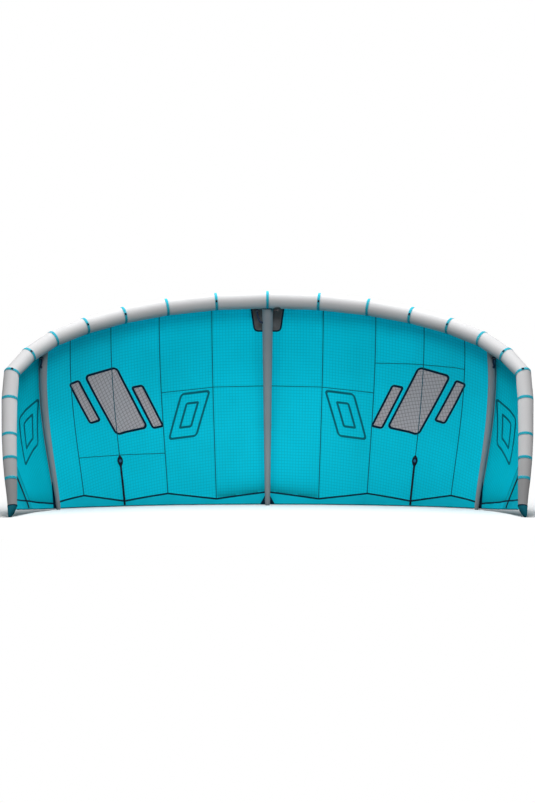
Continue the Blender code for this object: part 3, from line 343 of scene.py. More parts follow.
def tail(size):
    """The trailing edge, as one smooth curve through its points."""
    first = np.clip(size.astype(int), 0, LAST - 1)
    share = (size - first)[..., None]
    longer = np.vstack((TAILS[1] * MIRROR, TAILS, 2 * TAILS[-1] - TAILS[-2]))
    before, here, there, beyond = (longer[first + i] for i in range(4))
    return (
        here * 2 + (there - before) * share
        + (before * 2 - here * 5 + there * 4 - beyond) * share**2
        + (here * 3 - before - there * 3 + beyond) * share**3) / 2


def canopy(stations, shares):
    """Points in the middle of the canopy's cloth, before it billows."""
    stations, shares = np.broadcast_arrays(
        np.asarray(stations, float), np.asarray(shares, float))
    size = np.clip(np.abs(stations), 0, LAST)
    start = tube(size, between(SEAM_TURNS, size), SEAM_RISE)
    chord = tail(size) - start
    length = np.linalg.norm(chord, axis=-1)
    rise = camber_of(size) * length * camber_shape(shares)
    point = start + chord * shares[..., None]
    point = point + unit(between(OUTWARD, size)) * rise[..., None]
    return sided(point, stations)


def chord_length(stations):
    """Straight distance from the leading to the trailing edge."""
    return np.linalg.norm(canopy(stations, 1.0) - canopy(stations, 0.0), axis=-1)


def cloth_frame(stations, shares):
    """Directions along the chord, out of the cloth and across it."""
    high, low = np.clip(shares + FINE, 0, 1), np.clip(shares - FINE, 0, 1)
    along = unit(canopy(stations, high) - canopy(stations, low))
    step = FINE * 5
    across = canopy(np.clip(stations + step, -LAST, LAST), shares)
    across = across - canopy(np.clip(stations - step, -LAST, LAST), shares)
    out = unit(np.cross(across, along))
    return along, out, np.cross(along, out)


SPAN_STATIONS = np.linspace(0, LAST, 241)
SPAN_SHARE = 0.45
SPAN_PLACES = np.concatenate(((0.0,), np.cumsum(np.linalg.norm(
    np.diff(canopy(SPAN_STATIONS, SPAN_SHARE), axis=0), axis=-1))))


def span_place(stations):
    """Distance across the canopy from its middle."""
    return np.sign(stations) * np.interp(np.abs(stations), SPAN_STATIONS, SPAN_PLACES)


def swell(stations, shares, sizes):
    """How far the cloth stands out: billow between seams, ripples beside them."""
    size = np.abs(stations)
    index = np.clip(np.searchsorted(SEAMS, size, side="right") - 1, 0, len(SEAMS) - 2)
    low, high = np.take(SEAMS, index), np.take(SEAMS, index + 1)
    part = np.clip((size - low) / (high - low), 0, 1)
    wide = np.interp(high, SPAN_STATIONS, SPAN_PLACES)
    wide = wide - np.interp(low, SPAN_STATIONS, SPAN_PLACES)
    off = wide * np.minimum(part, 1 - part)
    place, chord = span_place(stations), chord_length(stations)
    down, left = shares * chord, (1 - shares) * chord
    ends = np.clip(down / BILLOW_TOP, 0, 1) * np.clip(left / BILLOW_FOOT, 0, 1)
    open_cloth = np.clip(off / BILLOW_SIDE, 0, 1)
    for _, at, long, _ in BATTENS:
        near = np.exp(-((place - span_place(np.sign(stations) * at)) / BATTEN_REACH) ** 2)
        beyond = np.clip((long + BATTEN_CLEAR - left) / BILLOW_FOOT, 0, 1)
        open_cloth = open_cloth * (1 - near * beyond)
    billow = sizes.billow * 4 * part * (1 - part) * ends * open_cloth
    beside = np.exp(-off / SEAM_REACH) * np.sin(
        2 * np.pi * down / SEAM_RIPPLE + size * 5) * ends
    under = np.exp(-down / EDGE_REACH) * np.clip(down / 0.04 - 0.75, 0, 1)
    under = under * np.sin(2 * np.pi * place / EDGE_RIPPLE + 2 * np.sin(place * 7))
    flutter = np.exp(-left / TAIL_REACH) * np.sin(2 * np.pi * place / TAIL_RIPPLE) * open_cloth
    return billow + sizes.ripple * (beside * open_cloth + under * 2.2 + flutter * 1.6)


def cloth(stations, shares, off=0.0):
    """Points on the billowed cloth, off its middle towards the outer side."""
    stations, shares, off = np.broadcast_arrays(
        np.asarray(stations, float), np.asarray(shares, float), np.asarray(off, float))
    _, out, _ = cloth_frame(stations, shares)
    rise = off + swell(stations, shares, bpy.context.scene.kite_sizes)
    return canopy(stations, shares) + out * rise[..., None]


def tail_band_share(stations, above=0.0):
    """Where the doubled cloth of the trailing edge begins, with its zigzag edge."""
    size, chord = np.abs(stations), chord_length(stations)
    high = np.interp(size, TAIL_BAND_STATIONS, TAIL_BAND_HEIGHTS)
    return 1 - (np.minimum(high, TAIL_BAND_MOST_SHARE * chord) + above) / chord


# Meshes

def merge(piece, within=1e-6):
    """Doubled points made one and faces turned outwards; corners keep their layout."""
    work = bmesh.new()
    work.from_mesh(piece.data)
    bmesh.ops.remove_doubles(work, verts=work.verts, dist=within)
    bmesh.ops.recalc_face_normals(work, faces=work.faces)
    work.to_mesh(piece.data)
    work.free()


def add_piece(name, points, faces, layout, finish, tones_and_painted_shade=None):
    """A mesh object with its cloth layout in metres and, where given, the colour changes and
    painted shade of its points.
    """
    mesh = bpy.data.meshes.new(name)
    mesh.from_pydata(points.tolist(), [], faces)
    places = mesh.uv_layers.new(name=LAY)
    corners = np.empty(len(mesh.loops), np.int32)
    mesh.loops.foreach_get("vertex_index", corners)
    places.data.foreach_set("uv", layout[corners].astype(np.float32).ravel())
    if tones_and_painted_shade is not None:
        tone_and_painted_shade = mesh.attributes.new(TONE_AND_PAINTED_SHADE, "FLOAT", "POINT")
        tone_and_painted_shade.data.foreach_set("value", tones_and_painted_shade.astype(np.float32))
    mesh.materials.append(finish)
    mesh.shade_smooth()
    piece = bpy.data.objects.new(name, mesh)
    bpy.context.scene.collection.objects.link(piece)
    return piece


def grid(name, points, layout, finish, tones_and_painted_shade=None, ends=False):
    """A piece through rows of points; with ends, its first and last rows are closed."""
    rows, columns = points.shape[:2]
    index = np.arange(rows * columns).reshape(rows, columns)
    quads = np.stack(
        (index[:-1, :-1], index[1:, :-1], index[1:, 1:], index[:-1, 1:]), -1)
    faces = quads.reshape(-1, 4).tolist()
    if ends:
        faces += [index[0, :-1].tolist(), index[-1, :-1].tolist()]
    flat = None if tones_and_painted_shade is None else tones_and_painted_shade.reshape(-1)
    return add_piece(name, points.reshape(-1, 3), faces, layout.reshape(-1, 2), finish, flat)


def around(count=ROUND):
    """Turns round a tube, with the first repeated at the end."""
    return np.linspace(0, 2 * np.pi, count + 1)


def lengths_along(points):
    """Distance from the first point, along the line."""
    steps = np.linalg.norm(np.diff(points, axis=0), axis=-1)
    return np.concatenate(((0.0,), np.cumsum(steps)))


SECTION = np.array((
    (-1.0, 0.15), (-0.86, 1.0), (0.86, 1.0), (1.0, 0.15),
    (1.0, -0.15), (0.86, -1.0), (-0.86, -1.0), (-1.0, -0.15), (-1.0, 0.15)))


def ribbon(name, points, sides, normals, wide, high, finish, closed=False):
    """A flat strip along points; wide and high are half its width and thickness."""
    wide = np.broadcast_to(np.asarray(wide, float), len(points))
    across, up = SECTION[:, 0], SECTION[:, 1]
    rows = points[:, None] + sides[:, None] * (wide[:, None] * across)[..., None]
    rows = rows + normals[:, None] * (high * up)[None, :, None]
    along = lengths_along(points)
    layout = np.stack(np.broadcast_arrays(along[:, None], wide[:, None] * across), -1)
    piece = grid(name, rows, layout, finish, ends=not closed)
    merge(piece)
    return piece


def on_cloth(stations, shares, off=0.0):
    """Points, sides and normals of a line that is laid on the cloth."""
    points = cloth(stations, shares, off)
    _, out, _ = cloth_frame(stations, shares)
    along = unit(np.gradient(points, axis=0))
    sides = unit(np.cross(out, along))
    return points, sides, unit(np.cross(along, sides))


def smooth_by_angle(piece, degrees=40):
    """Soft shading with edges kept sharp over an angle."""
    bpy.ops.object.select_all(action="DESELECT")
    piece.select_set(True)
    bpy.context.view_layer.objects.active = piece
    bpy.ops.object.shade_smooth_by_angle(angle=math.radians(degrees))
    piece.select_set(False)


def joined(name, pieces):
    """Several like pieces made one object."""
    bpy.ops.object.select_all(action="DESELECT")
    for piece in pieces:
        piece.select_set(True)
    bpy.context.view_layer.objects.active = pieces[0]
    if len(pieces) > 1:
        bpy.ops.object.join()
    whole = bpy.context.view_layer.objects.active
    whole.select_set(False)
    whole.name = whole.data.name = name
    return whole


def thicken(piece, thickness, offset=0.0):
    """A wall for a surface, by a modifier."""
    wall = piece.modifiers.new("thickness", "SOLIDIFY")
    wall.thickness = thickness
    wall.offset = offset
    return piece


def settle(piece, slot, *nodes):
    """The piece rides on the kite and stands for its nodes, which are hidden; the slot is not
    used.
    """
    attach(piece, BODY)
    if nodes:
        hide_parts(*nodes)
    return piece


def both(text):
    """The names of a left and a right node."""
    return [f"{text}_left", f"{text}_right"]


def repaint(node, key):
    """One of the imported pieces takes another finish; its mesh stays."""
    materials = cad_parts[node].data.materials
    materials.clear()
    materials.append(finish(key))


# Materials

def put(tree, kind, inputs=None, **settings):
    """A node with its settings; inputs are sockets or values."""
    made = tree.nodes.new(kind)
    for key, value in settings.items():
        setattr(made, key, value)
    for key, value in (inputs or {}).items():
        if isinstance(value, bpy.types.NodeSocket):
            tree.links.new(value, made.inputs[key])
        else:
            made.inputs[key].default_value = value
    return made


def sum_of(tree, operation, *values):
    """A Math node; values are sockets or numbers."""
    made = put(tree, "ShaderNodeMath", dict(enumerate(values)), operation=operation)
    return made.outputs[0]


def ramp(tree, value, low, high, start=0.0, end=1.0):
    """A smooth change from start to end, while the value goes from low to high."""
    made = put(tree, "ShaderNodeMapRange", {
        "Value": value, "From Min": low, "From Max": high, "To Min": start, "To Max": end},
        interpolation_type="SMOOTHSTEP")
    return made.outputs[0]


def mix(tree, factor, first, second, blend="MIX"):
    """A colour mixed from two colours; they are sockets or values."""
    made = put(tree, "ShaderNodeMix", data_type="RGBA", blend_type=blend)
    for key, value in ((0, factor), (6, first), (7, second)):
        if isinstance(value, bpy.types.NodeSocket):
            tree.links.new(value, made.inputs[key])
        elif key:
            made.inputs[key].default_value = (*value[:3], 1.0)
        else:
            made.inputs[key].default_value = value
    return made.outputs[2]


def scaled(tree, colour, *values):
    """A colour made lighter or darker by values that vary over the surface."""
    for value in values:
        grey = put(tree, "ShaderNodeCombineColor", {0: value, 1: value, 2: value})
        colour = mix(tree, 1.0, colour, grey.outputs[0], "MULTIPLY")
    return colour


def group(name, inputs, outputs, build):
    """A shared node group with named sockets."""
    tree = bpy.data.node_groups.get(name)
    if tree:
        return tree
    tree = bpy.data.node_groups.new(name, "ShaderNodeTree")
    for label, default in inputs:
        kind = "NodeSocketVector" if isinstance(default, tuple) else "NodeSocketFloat"
        socket = tree.interface.new_socket(label, in_out="INPUT", socket_type=kind)
        socket.default_value = default
    for label in outputs:
        tree.interface.new_socket(label, in_out="OUTPUT", socket_type="NodeSocketFloat")
    start, end = tree.nodes.new("NodeGroupInput"), tree.nodes.new("NodeGroupOutput")
    build(tree, start.outputs, end.inputs)
    return tree


def use(tree, shared, **values):
    """A shared node group in a tree; gives its outputs."""
    made = put(tree, "ShaderNodeGroup", node_tree=shared)
    for key, value in values.items():
        socket = made.inputs[key.replace("_", " ")]
        if isinstance(value, bpy.types.NodeSocket):
            tree.links.new(value, socket)
        else:
            socket.default_value = value
    return made.outputs


def woven_group():
    """Threads that cross, and the heavier lines of a ripstop weave."""
    def build(tree, given, out):
        split = put(tree, "ShaderNodeSeparateXYZ", {0: given["Lay"]}).outputs
        threads, lines = [], []
        for axis in (0, 1):
            turn = sum_of(tree, "DIVIDE", split[axis], given["Thread"])
            threads.append(sum_of(tree, "SINE", sum_of(tree, "MULTIPLY", turn, math.tau)))
            cell = sum_of(tree, "FRACT", sum_of(tree, "DIVIDE", split[axis], given["Cell"]))
            off = sum_of(tree, "ABSOLUTE", sum_of(tree, "SUBTRACT", cell, 0.5))
            edge = sum_of(tree, "SUBTRACT", 0.5, given["Line"])
            lines.append(ramp(tree, off, edge, 0.5))
        crossed = sum_of(tree, "MULTIPLY", *threads)
        half = sum_of(tree, "MULTIPLY", crossed, 0.5)
        tree.links.new(sum_of(tree, "ADD", half, 0.5), out["Threads"])
        tree.links.new(sum_of(tree, "MAXIMUM", *lines), out["Lines"])
    return group("woven cloth", (("Lay", (0.0, 0.0, 0.0)), ("Thread", 0.001), ("Cell", 0.006),
                                 ("Line", 0.1)), ("Threads", "Lines"), build)


def cloud_group():
    """Soft changes of shade over a surface."""
    def build(tree, given, out):
        wide = put(tree, "ShaderNodeTexNoise", {
            "Vector": given["Place"], "Scale": given["Scale"], "Detail": 4.0,
            "Roughness": 0.55}).outputs[0]
        tree.links.new(ramp(tree, wide, 0.3, 0.7, given["Low"], given["High"]), out["Shade"])
    return group("cloud", (("Place", (0.0, 0.0, 0.0)), ("Scale", 3.0), ("Low", 0.9),
                           ("High", 1.05)), ("Shade",), build)


def stitch_group():
    """A zigzag row of stitches, along X and centred on a given Y."""
    def build(tree, given, out):
        split = put(tree, "ShaderNodeSeparateXYZ", {0: given["Lay"]}).outputs
        swing = sum_of(tree, "PINGPONG", split[0], given["Step"])
        swing = sum_of(tree, "DIVIDE", swing, given["Step"])
        swing = sum_of(tree, "SUBTRACT", swing, 0.5)
        middle = sum_of(tree, "MULTIPLY_ADD", swing, given["Swing"], given["Centre"])
        far = sum_of(tree, "ABSOLUTE", sum_of(tree, "SUBTRACT", split[1], middle))
        mask = ramp(tree, far, sum_of(tree, "MULTIPLY", given["Thread"], 0.4),
                    given["Thread"], 1.0, 0.0)
        tree.links.new(mask, out["Mask"])
    return group("stitches", (("Lay", (0.0, 0.0, 0.0)), ("Centre", 0.0), ("Step", 0.003),
                              ("Swing", 0.003), ("Thread", 0.0006)), ("Mask",), build)


def bar_group():
    """How far a point lies inside a slanted bar with round corners; mirrored in X."""
    def build(tree, given, out):
        split = put(tree, "ShaderNodeSeparateXYZ", {0: given["Lay"]}).outputs
        down = sum_of(tree, "SUBTRACT", split[1], given["Down"])
        across = sum_of(tree, "SUBTRACT", sum_of(tree, "ABSOLUTE", split[0]), given["Across"])
        across = sum_of(tree, "SUBTRACT", across, sum_of(tree, "MULTIPLY", down, given["Lean"]))
        past = []
        for value, half in ((across, given["Half Width"]), (down, given["Half Height"])):
            inner = sum_of(tree, "SUBTRACT", half, given["Round"])
            far = sum_of(tree, "SUBTRACT", sum_of(tree, "ABSOLUTE", value), inner)
            past.append(far)
        outside = [sum_of(tree, "MAXIMUM", far, 0.0) for far in past]
        squares = sum_of(tree, "ADD", *[sum_of(tree, "MULTIPLY", far, far) for far in outside])
        inside = sum_of(tree, "MINIMUM", sum_of(tree, "MAXIMUM", *past), 0.0)
        away = sum_of(tree, "ADD", sum_of(tree, "SQRT", squares), inside)
        depth = sum_of(tree, "SUBTRACT", given["Round"], away)
        tree.links.new(depth, out["Depth"])
    return group("slanted bar", (
        ("Lay", (0.0, 0.0, 0.0)), ("Across", 0.0), ("Down", 0.0), ("Half Width", 0.1),
        ("Half Height", 0.1), ("Lean", 0.0), ("Round", 0.02)), ("Depth",), build)


def new_material(name, roughness, sheen=0.0, shine=0.05):
    """A material with its node tree and its Principled shader."""
    finish = bpy.data.materials.new(name)
    finish.use_nodes = True
    tree = finish.node_tree
    shader = tree.nodes["Principled BSDF"]
    shader.inputs["Roughness"].default_value = roughness
    shader.inputs["Sheen Weight"].default_value = sheen
    shader.inputs["Specular IOR Level"].default_value = shine
    return finish, tree, shader


def lay_of(tree):
    """Where a point lies on the flat cloth, in metres."""
    return put(tree, "ShaderNodeUVMap", uv_map=LAY).outputs[0]


def object_place(tree):
    """Where a point lies in space, in metres."""
    return put(tree, "ShaderNodeTexCoord").outputs["Object"]


def bumped(tree, shader, height, strength, distance):
    """Raises the surface by a height."""
    bump = put(tree, "ShaderNodeBump", {
        "Height": height, "Strength": strength, "Distance": distance})
    tree.links.new(bump.outputs[0], shader.inputs["Normal"])


def let_through(tree, shader, paint, share):
    """Thin cloth passes a share of the light that falls on its far side."""
    lighter = put(tree, "ShaderNodeGamma", {"Color": paint, "Gamma": 0.6}).outputs[0]
    through = put(tree, "ShaderNodeBsdfTranslucent", {"Color": lighter})
    both_ways = put(tree, "ShaderNodeMixShader", {0: share})
    tree.links.new(shader.outputs[0], both_ways.inputs[1])
    tree.links.new(through.outputs[0], both_ways.inputs[2])
    tree.links.new(both_ways.outputs[0], tree.nodes["Material Output"].inputs["Surface"])


def cloth_material(name, colour, roughness=0.6, thread=0.0012, cell=0.006, line=0.08,
                   clouds=(2.5, 0.93, 1.04), stitches=(), stitch_colour=None, with_tone_and_painted_shade=False,
                   through=0.0):
    """Woven cloth: crossed threads, ripstop lines, soft shade, rows of stitches and, where asked,
    the painted shade kept on the mesh.
    """
    finish, tree, shader = new_material(name, roughness, sheen=0.01)
    lay = lay_of(tree)
    woven = use(tree, woven_group(), Lay=lay, Thread=thread, Cell=cell, Line=line)
    shade = use(tree, cloud_group(), Place=object_place(tree), Scale=clouds[0],
                Low=clouds[1], High=clouds[2])["Shade"]
    values = [shade, ramp(tree, woven["Lines"], 0, 1, 1.0, 0.93),
              ramp(tree, woven["Threads"], 0, 1, 0.94, 1.03)]
    # Painted shade from the mesh, with each strip's own colour change where a piece has one
    if with_tone_and_painted_shade:
        values.append(put(tree, "ShaderNodeAttribute", attribute_name=TONE_AND_PAINTED_SHADE).outputs["Fac"])
    paint = scaled(tree, (*colour, 1.0), *values)
    height = sum_of(tree, "MULTIPLY_ADD", woven["Lines"], 0.6, woven["Threads"])
    for centre, swing in stitches:
        row = use(tree, stitch_group(), Lay=lay, Centre=centre, Swing=swing)["Mask"]
        paint = mix(tree, row, paint, stitch_colour)
        height = sum_of(tree, "ADD", height, sum_of(tree, "MULTIPLY", row, 1.5))
    tree.links.new(paint, shader.inputs["Base Color"])
    bumped(tree, shader, height, 0.25, 0.0002)
    if through:
        let_through(tree, shader, paint, through)
    return finish


def moulded_material(name, colour, roughness, grain=900.0):
    """Moulded plastic or rubber: fine grain, faint flow marks and rubbed patches."""
    finish, tree, shader = new_material(name, roughness, shine=0.4)
    place = object_place(tree)
    shade = use(tree, cloud_group(), Place=place, Scale=40.0, Low=0.9, High=1.08)["Shade"]
    tree.links.new(scaled(tree, (*colour, 1.0), shade), shader.inputs["Base Color"])
    fine = put(tree, "ShaderNodeTexNoise", {"Vector": place, "Scale": grain, "Detail": 2.0})
    rub = use(tree, cloud_group(), Place=place, Scale=90.0, Low=roughness - 0.08,
              High=roughness + 0.1)["Shade"]
    tree.links.new(rub, shader.inputs["Roughness"])
    bumped(tree, shader, fine.outputs[0], 0.15, 0.0001)
    return finish


SAILCLOTH_THROUGH = 0.3
# Bars on each half of the canopy: across, down, half width, half height, lean, corner
PRINTED_BARS = (
    (1.46, 0.80, 0.165, 0.32, -0.42, 0.05),
    (1.155, 0.92, 0.06, 0.22, -0.42, 0.03),
    (1.775, 0.72, 0.06, 0.22, -0.42, 0.03),
)
OUTLINED_BARS = (
    (0.76, 1.06, 0.145, 0.215, 0.35, 0.04),
    (0.76, 1.06, 0.065, 0.12, 0.35, 0.02),
    (2.45, 0.68, 0.15, 0.19, 0.25, 0.04),
    (2.45, 0.68, 0.075, 0.105, 0.25, 0.02),
)
OUTLINE, OUTLINE_EDGE = 0.021, 0.001
OUTLINE_TEAL, OUTLINE_COVER = (0.004, 0.12, 0.17), 0.9
NET_TURN = 0.35


def canopy_material(name, colours):
    """Sailcloth with a ripstop grid, printed bars, and the painted shade and strip colours kept on
    the mesh.
    """
    finish, tree, shader = new_material(name, 0.5)
    lay = lay_of(tree)
    fine = use(tree, woven_group(), Lay=lay, Thread=0.0009, Cell=0.0065, Line=0.07)
    coarse = use(tree, woven_group(), Lay=lay, Thread=0.0009, Cell=0.028, Line=0.12)
    shade = use(tree, cloud_group(), Place=object_place(tree), Scale=1.6, Low=0.95,
                High=1.03)["Shade"]
    tone_and_painted_shade = put(tree, "ShaderNodeAttribute", attribute_name=TONE_AND_PAINTED_SHADE).outputs["Fac"]
    values = [shade, tone_and_painted_shade, ramp(tree, fine["Lines"], 0, 1, 1.0, 0.9),
              ramp(tree, coarse["Lines"], 0, 1, 1.0, 0.74)]
    paint = scaled(tree, (*colours.canopy, 1.0), *values)
    turned = put(tree, "ShaderNodeVectorRotate", {"Vector": lay, "Angle": NET_TURN},
                 rotation_type="Z_AXIS").outputs[0]
    net = use(tree, woven_group(), Lay=turned, Thread=0.011, Cell=0.032, Line=0.12)
    grey = scaled(tree, (*colours.print_grey, 1.0), shade,
                  ramp(tree, net["Lines"], 0, 1, 1.0, 0.4),
                  ramp(tree, net["Threads"], 0, 1, 0.7, 1.15))
    for bars, filled in ((PRINTED_BARS, True), (OUTLINED_BARS, False)):
        for across, down, wide, high, lean, corner in bars:
            depth = use(tree, bar_group(), Lay=lay, Across=across, Down=down, Half_Width=wide,
                        Half_Height=high, Lean=lean, Round=corner)["Depth"]
            inside = ramp(tree, depth, -OUTLINE_EDGE, OUTLINE_EDGE)
            inner = ramp(tree, depth, OUTLINE - OUTLINE_EDGE, OUTLINE + OUTLINE_EDGE)
            line = sum_of(tree, "SUBTRACT", inside, inner)
            if filled:
                paint = mix(tree, inside, paint, grey)
                paint = mix(tree, line, paint, colours.tape)
            else:
                dark = sum_of(tree, "MULTIPLY", line, OUTLINE_COVER)
                paint = mix(tree, dark, paint, OUTLINE_TEAL)
    tree.links.new(paint, shader.inputs["Base Color"])
    height = sum_of(tree, "MULTIPLY_ADD", fine["Lines"], 0.5, fine["Threads"])
    height = sum_of(tree, "ADD", height, coarse["Lines"])
    bumped(tree, shader, height, 0.2, 0.0002)
    let_through(tree, shader, paint, SAILCLOTH_THROUGH)
    return finish


def finish(key):
    """One of the kite's materials, made when it is first asked for."""
    name = FINISHES[key][0]
    made = bpy.data.materials.get(name)
    return made or FINISHES[key][1](name, bpy.context.scene.kite_colours)


WHITE_THREAD = (0.6, 0.62, 0.62)
DARK_THREAD = (0.01, 0.05, 0.07)
FINISHES = {
    "canopy": ("turquoise sailcloth", canopy_material),
    "tube": ("white woven polyester", lambda name, c: cloth_material(
        name, c.tube, 0.55, cell=0.0055, with_tone_and_painted_shade=True, clouds=(1.3, 0.95, 1.02))),
    "strut": ("grey woven polyester", lambda name, c: cloth_material(
        name, c.strut, 0.6, cell=0.0055, clouds=(1.8, 0.92, 1.06))),
    "tail": ("doubled sailcloth", lambda name, c: cloth_material(
        name, c.tail, 0.5, with_tone_and_painted_shade=True, clouds=(1.6, 0.94, 1.04),
        through=SAILCLOTH_THROUGH / 2)),
    "band": ("turquoise band", lambda name, c: cloth_material(
        name, c.band, 0.55, cell=0.004, stitches=((-0.0095, 0.0024), (0.0095, 0.0024)),
        stitch_colour=WHITE_THREAD)),
    "cap": ("deep blue cloth", lambda name, c: cloth_material(name, c.cap, 0.6)),
    "patch": ("charcoal cloth", lambda name, c: cloth_material(
        name, c.patch, 0.7, clouds=(14, 0.8, 1.15))),
    "tape": ("dark seam tape", lambda name, c: cloth_material(
        name, c.tape, 0.6, cell=0.004, stitches=((0.0, 0.0045),),
        stitch_colour=(0.02, 0.13, 0.17))),
    "line": ("teal seam", lambda name, c: cloth_material(
        name, c.seam, 0.6, cell=0.004, stitches=((0.0, 0.004),),
        stitch_colour=(0.01, 0.2, 0.26))),
    "strip": ("strut strip", lambda name, c: cloth_material(
        name, c.tail, 0.55, cell=0.004, stitches=((-0.015, 0.004), (0.015, 0.004)),
        stitch_colour=DARK_THREAD)),
    "seam": ("white seam strip", lambda name, c: cloth_material(
        name, c.tube, 0.6, cell=0.004, stitches=((-0.009, 0.004), (0.009, 0.004)),
        stitch_colour=(0.2, 0.42, 0.48))),
    "webbing": ("black webbing", lambda name, c: cloth_material(
        name, c.webbing, 0.7, thread=0.0016, cell=0.003, line=0.2,
        stitches=((-0.005, 0.002), (0.005, 0.002)), stitch_colour=(0.05, 0.06, 0.08))),
    "film": ("bladder film", lambda name, c: moulded_material(name, c.film, 0.3)),
    "rubber": ("hose rubber", lambda name, c: moulded_material(name, c.rubber, 0.5)),
    "black": ("black moulding", lambda name, c: moulded_material(
        name, (0.012, 0.013, 0.015), 0.42)),
    "lever": ("grey moulding", lambda name, c: moulded_material(
        name, (0.2, 0.2, 0.21), 0.42)),
    "valve": ("dark grey moulding", lambda name, c: moulded_material(
        name, (0.035, 0.037, 0.04), 0.38)),
    "insert": ("grey black moulding", lambda name, c: moulded_material(
        name, (0.06, 0.062, 0.066), 0.35)),
    "rod": ("pale glass fibre", lambda name, c: moulded_material(
        name, (0.7, 0.7, 0.58), 0.35, 300.0)),
    "blue": ("blue mark", lambda name, c: cloth_material(
        name, (0.03, 0.16, 0.3), 0.5)),
}


# The stage

# Name, place, aim, size and power
LAMPS = (
    ("overhead", (0.0, 1.0, 6.0), (0.0, 0.4, 1.5), 5.0, 470.0),
    ("high front", (0.0, -8.0, 7.5), (0.0, 0.0, 1.0), 5.0, 480.0),
    ("left tip", (-6.2, -4.2, 1.3), (-2.2, -0.6, 0.9), 2.0, 85.0),
    ("right tip", (6.2, -4.2, 1.3), (2.2, -0.6, 0.9), 2.0, 85.0),
    ("behind", (0.0, 6.5, 3.0), (0.0, 0.4, 0.9), 6.0, 55.0),
)
AMBIENT = 0.03
CAMERA_PLACE = (0.0, BACK_SHIFT - 14.0, 0.979)
CAMERA_LENS = 1481.5 * 36 / 803
FLOOR_SIZE = 90
FADE_FROM, FADE_TO = 2.3, 3.4


class KITE_OT_stage(bpy.types.Operator):
    """Floor, lights, background and camera"""

    bl_idname = "kite.stage"
    bl_label = "Stage"

    def execute(self, context):
        scene = context.scene
        scene.view_settings.view_transform = "Standard"
        self.background(scene)
        self.floor()
        for name, place, aim, size, power in LAMPS:
            lamp = bpy.data.lights.new(name, "AREA")
            lamp.shape = "SQUARE"
            lamp.size = size
            lamp.energy = power
            made = bpy.data.objects.new(name, lamp)
            made.location = place
            way = Vector(aim) - Vector(place)
            made.rotation_euler = way.to_track_quat("-Z", "Y").to_euler()
            scene.collection.objects.link(made)
        camera = bpy.data.objects.new("camera", bpy.data.cameras.new("camera"))
        camera.location = CAMERA_PLACE
        camera.rotation_euler = (math.pi / 2, 0, 0)
        camera.data.lens = CAMERA_LENS
        camera.data.clip_end = 200.0
        scene.collection.objects.link(camera)
        scene.camera = camera
        return {"FINISHED"}

    def background(self, scene):
        """White where it is seen, and dim as a light."""
        world = bpy.data.worlds.new("studio")
        scene.world = world
        world.use_nodes = True
        tree = world.node_tree
        ray = put(tree, "ShaderNodeLightPath").outputs
        seen = sum_of(tree, "MAXIMUM", ray["Is Camera Ray"], ray["Is Glossy Ray"])
        seen = sum_of(tree, "MAXIMUM", seen, ray["Is Transmission Ray"])
        paint = mix(tree, seen, (AMBIENT, AMBIENT, AMBIENT), (1.0, 1.0, 1.0))
        tree.links.new(paint, tree.nodes["Background"].inputs["Color"])

    def floor(self):
        """A pale floor that keeps the kite's shadow and fades to white."""
        bpy.ops.mesh.primitive_plane_add(size=FLOOR_SIZE, location=(0, 0, 0))
        floor = bpy.context.object
        floor.name = "floor"
        surface, tree, shader = new_material("pale floor", 0.9)
        ray = put(tree, "ShaderNodeLightPath").outputs["Is Camera Ray"]
        paint = mix(tree, ray, (0.05, 0.05, 0.05), (0.93, 0.93, 0.93))
        tree.links.new(paint, shader.inputs["Base Color"])
        shader.inputs["Specular IOR Level"].default_value = 0.0
        place = put(tree, "ShaderNodeTexCoord").outputs["Object"]
        far = put(tree, "ShaderNodeVectorMath", {0: place}, operation="LENGTH").outputs["Value"]
        fade = sum_of(tree, "MULTIPLY", ramp(tree, far, FADE_FROM, FADE_TO), ray)
        glow = put(tree, "ShaderNodeEmission", {"Color": (1, 1, 1, 1), "Strength": 1.0})
        blend = put(tree, "ShaderNodeMixShader", {0: fade})
        tree.links.new(shader.outputs[0], blend.inputs[1])
        tree.links.new(glow.outputs[0], blend.inputs[2])
        tree.links.new(blend.outputs[0], tree.nodes["Material Output"].inputs["Surface"])
        floor.data.materials.append(surface)


# Leading edge

def tube_marks():
    """Stations along the whole tube, closer together beside each band."""
    part = 0.5 - 0.5 * np.cos(np.pi * np.arange(SECTION_STEPS) / SECTION_STEPS)
    half = np.concatenate([part + i for i in range(LAST)] + [np.array((float(LAST),))])
    return np.concatenate((-half[:0:-1], half))


def band_bends():
    """The way the tube bends at each band, and by how much."""
    path = np.vstack((CENTRES[1] * MIRROR, CENTRES, 2 * CENTRES[-1] - CENTRES[-2]))
    ways = unit(np.diff(path, axis=0))
    return ways[1:] - ways[:-1]


BENDS = band_bends()
# Painted shade on the cloth between one band and the next, from the centre to the tip: it darkens
# the last three sections at the tip
SECTION_PAINTED_SHADE = (1.0,) * 9 + (0.93, 0.7, 0.49)
CREASE_REACH, FOLD_REACH, BAND_REACH = 0.03, 0.05, 0.012


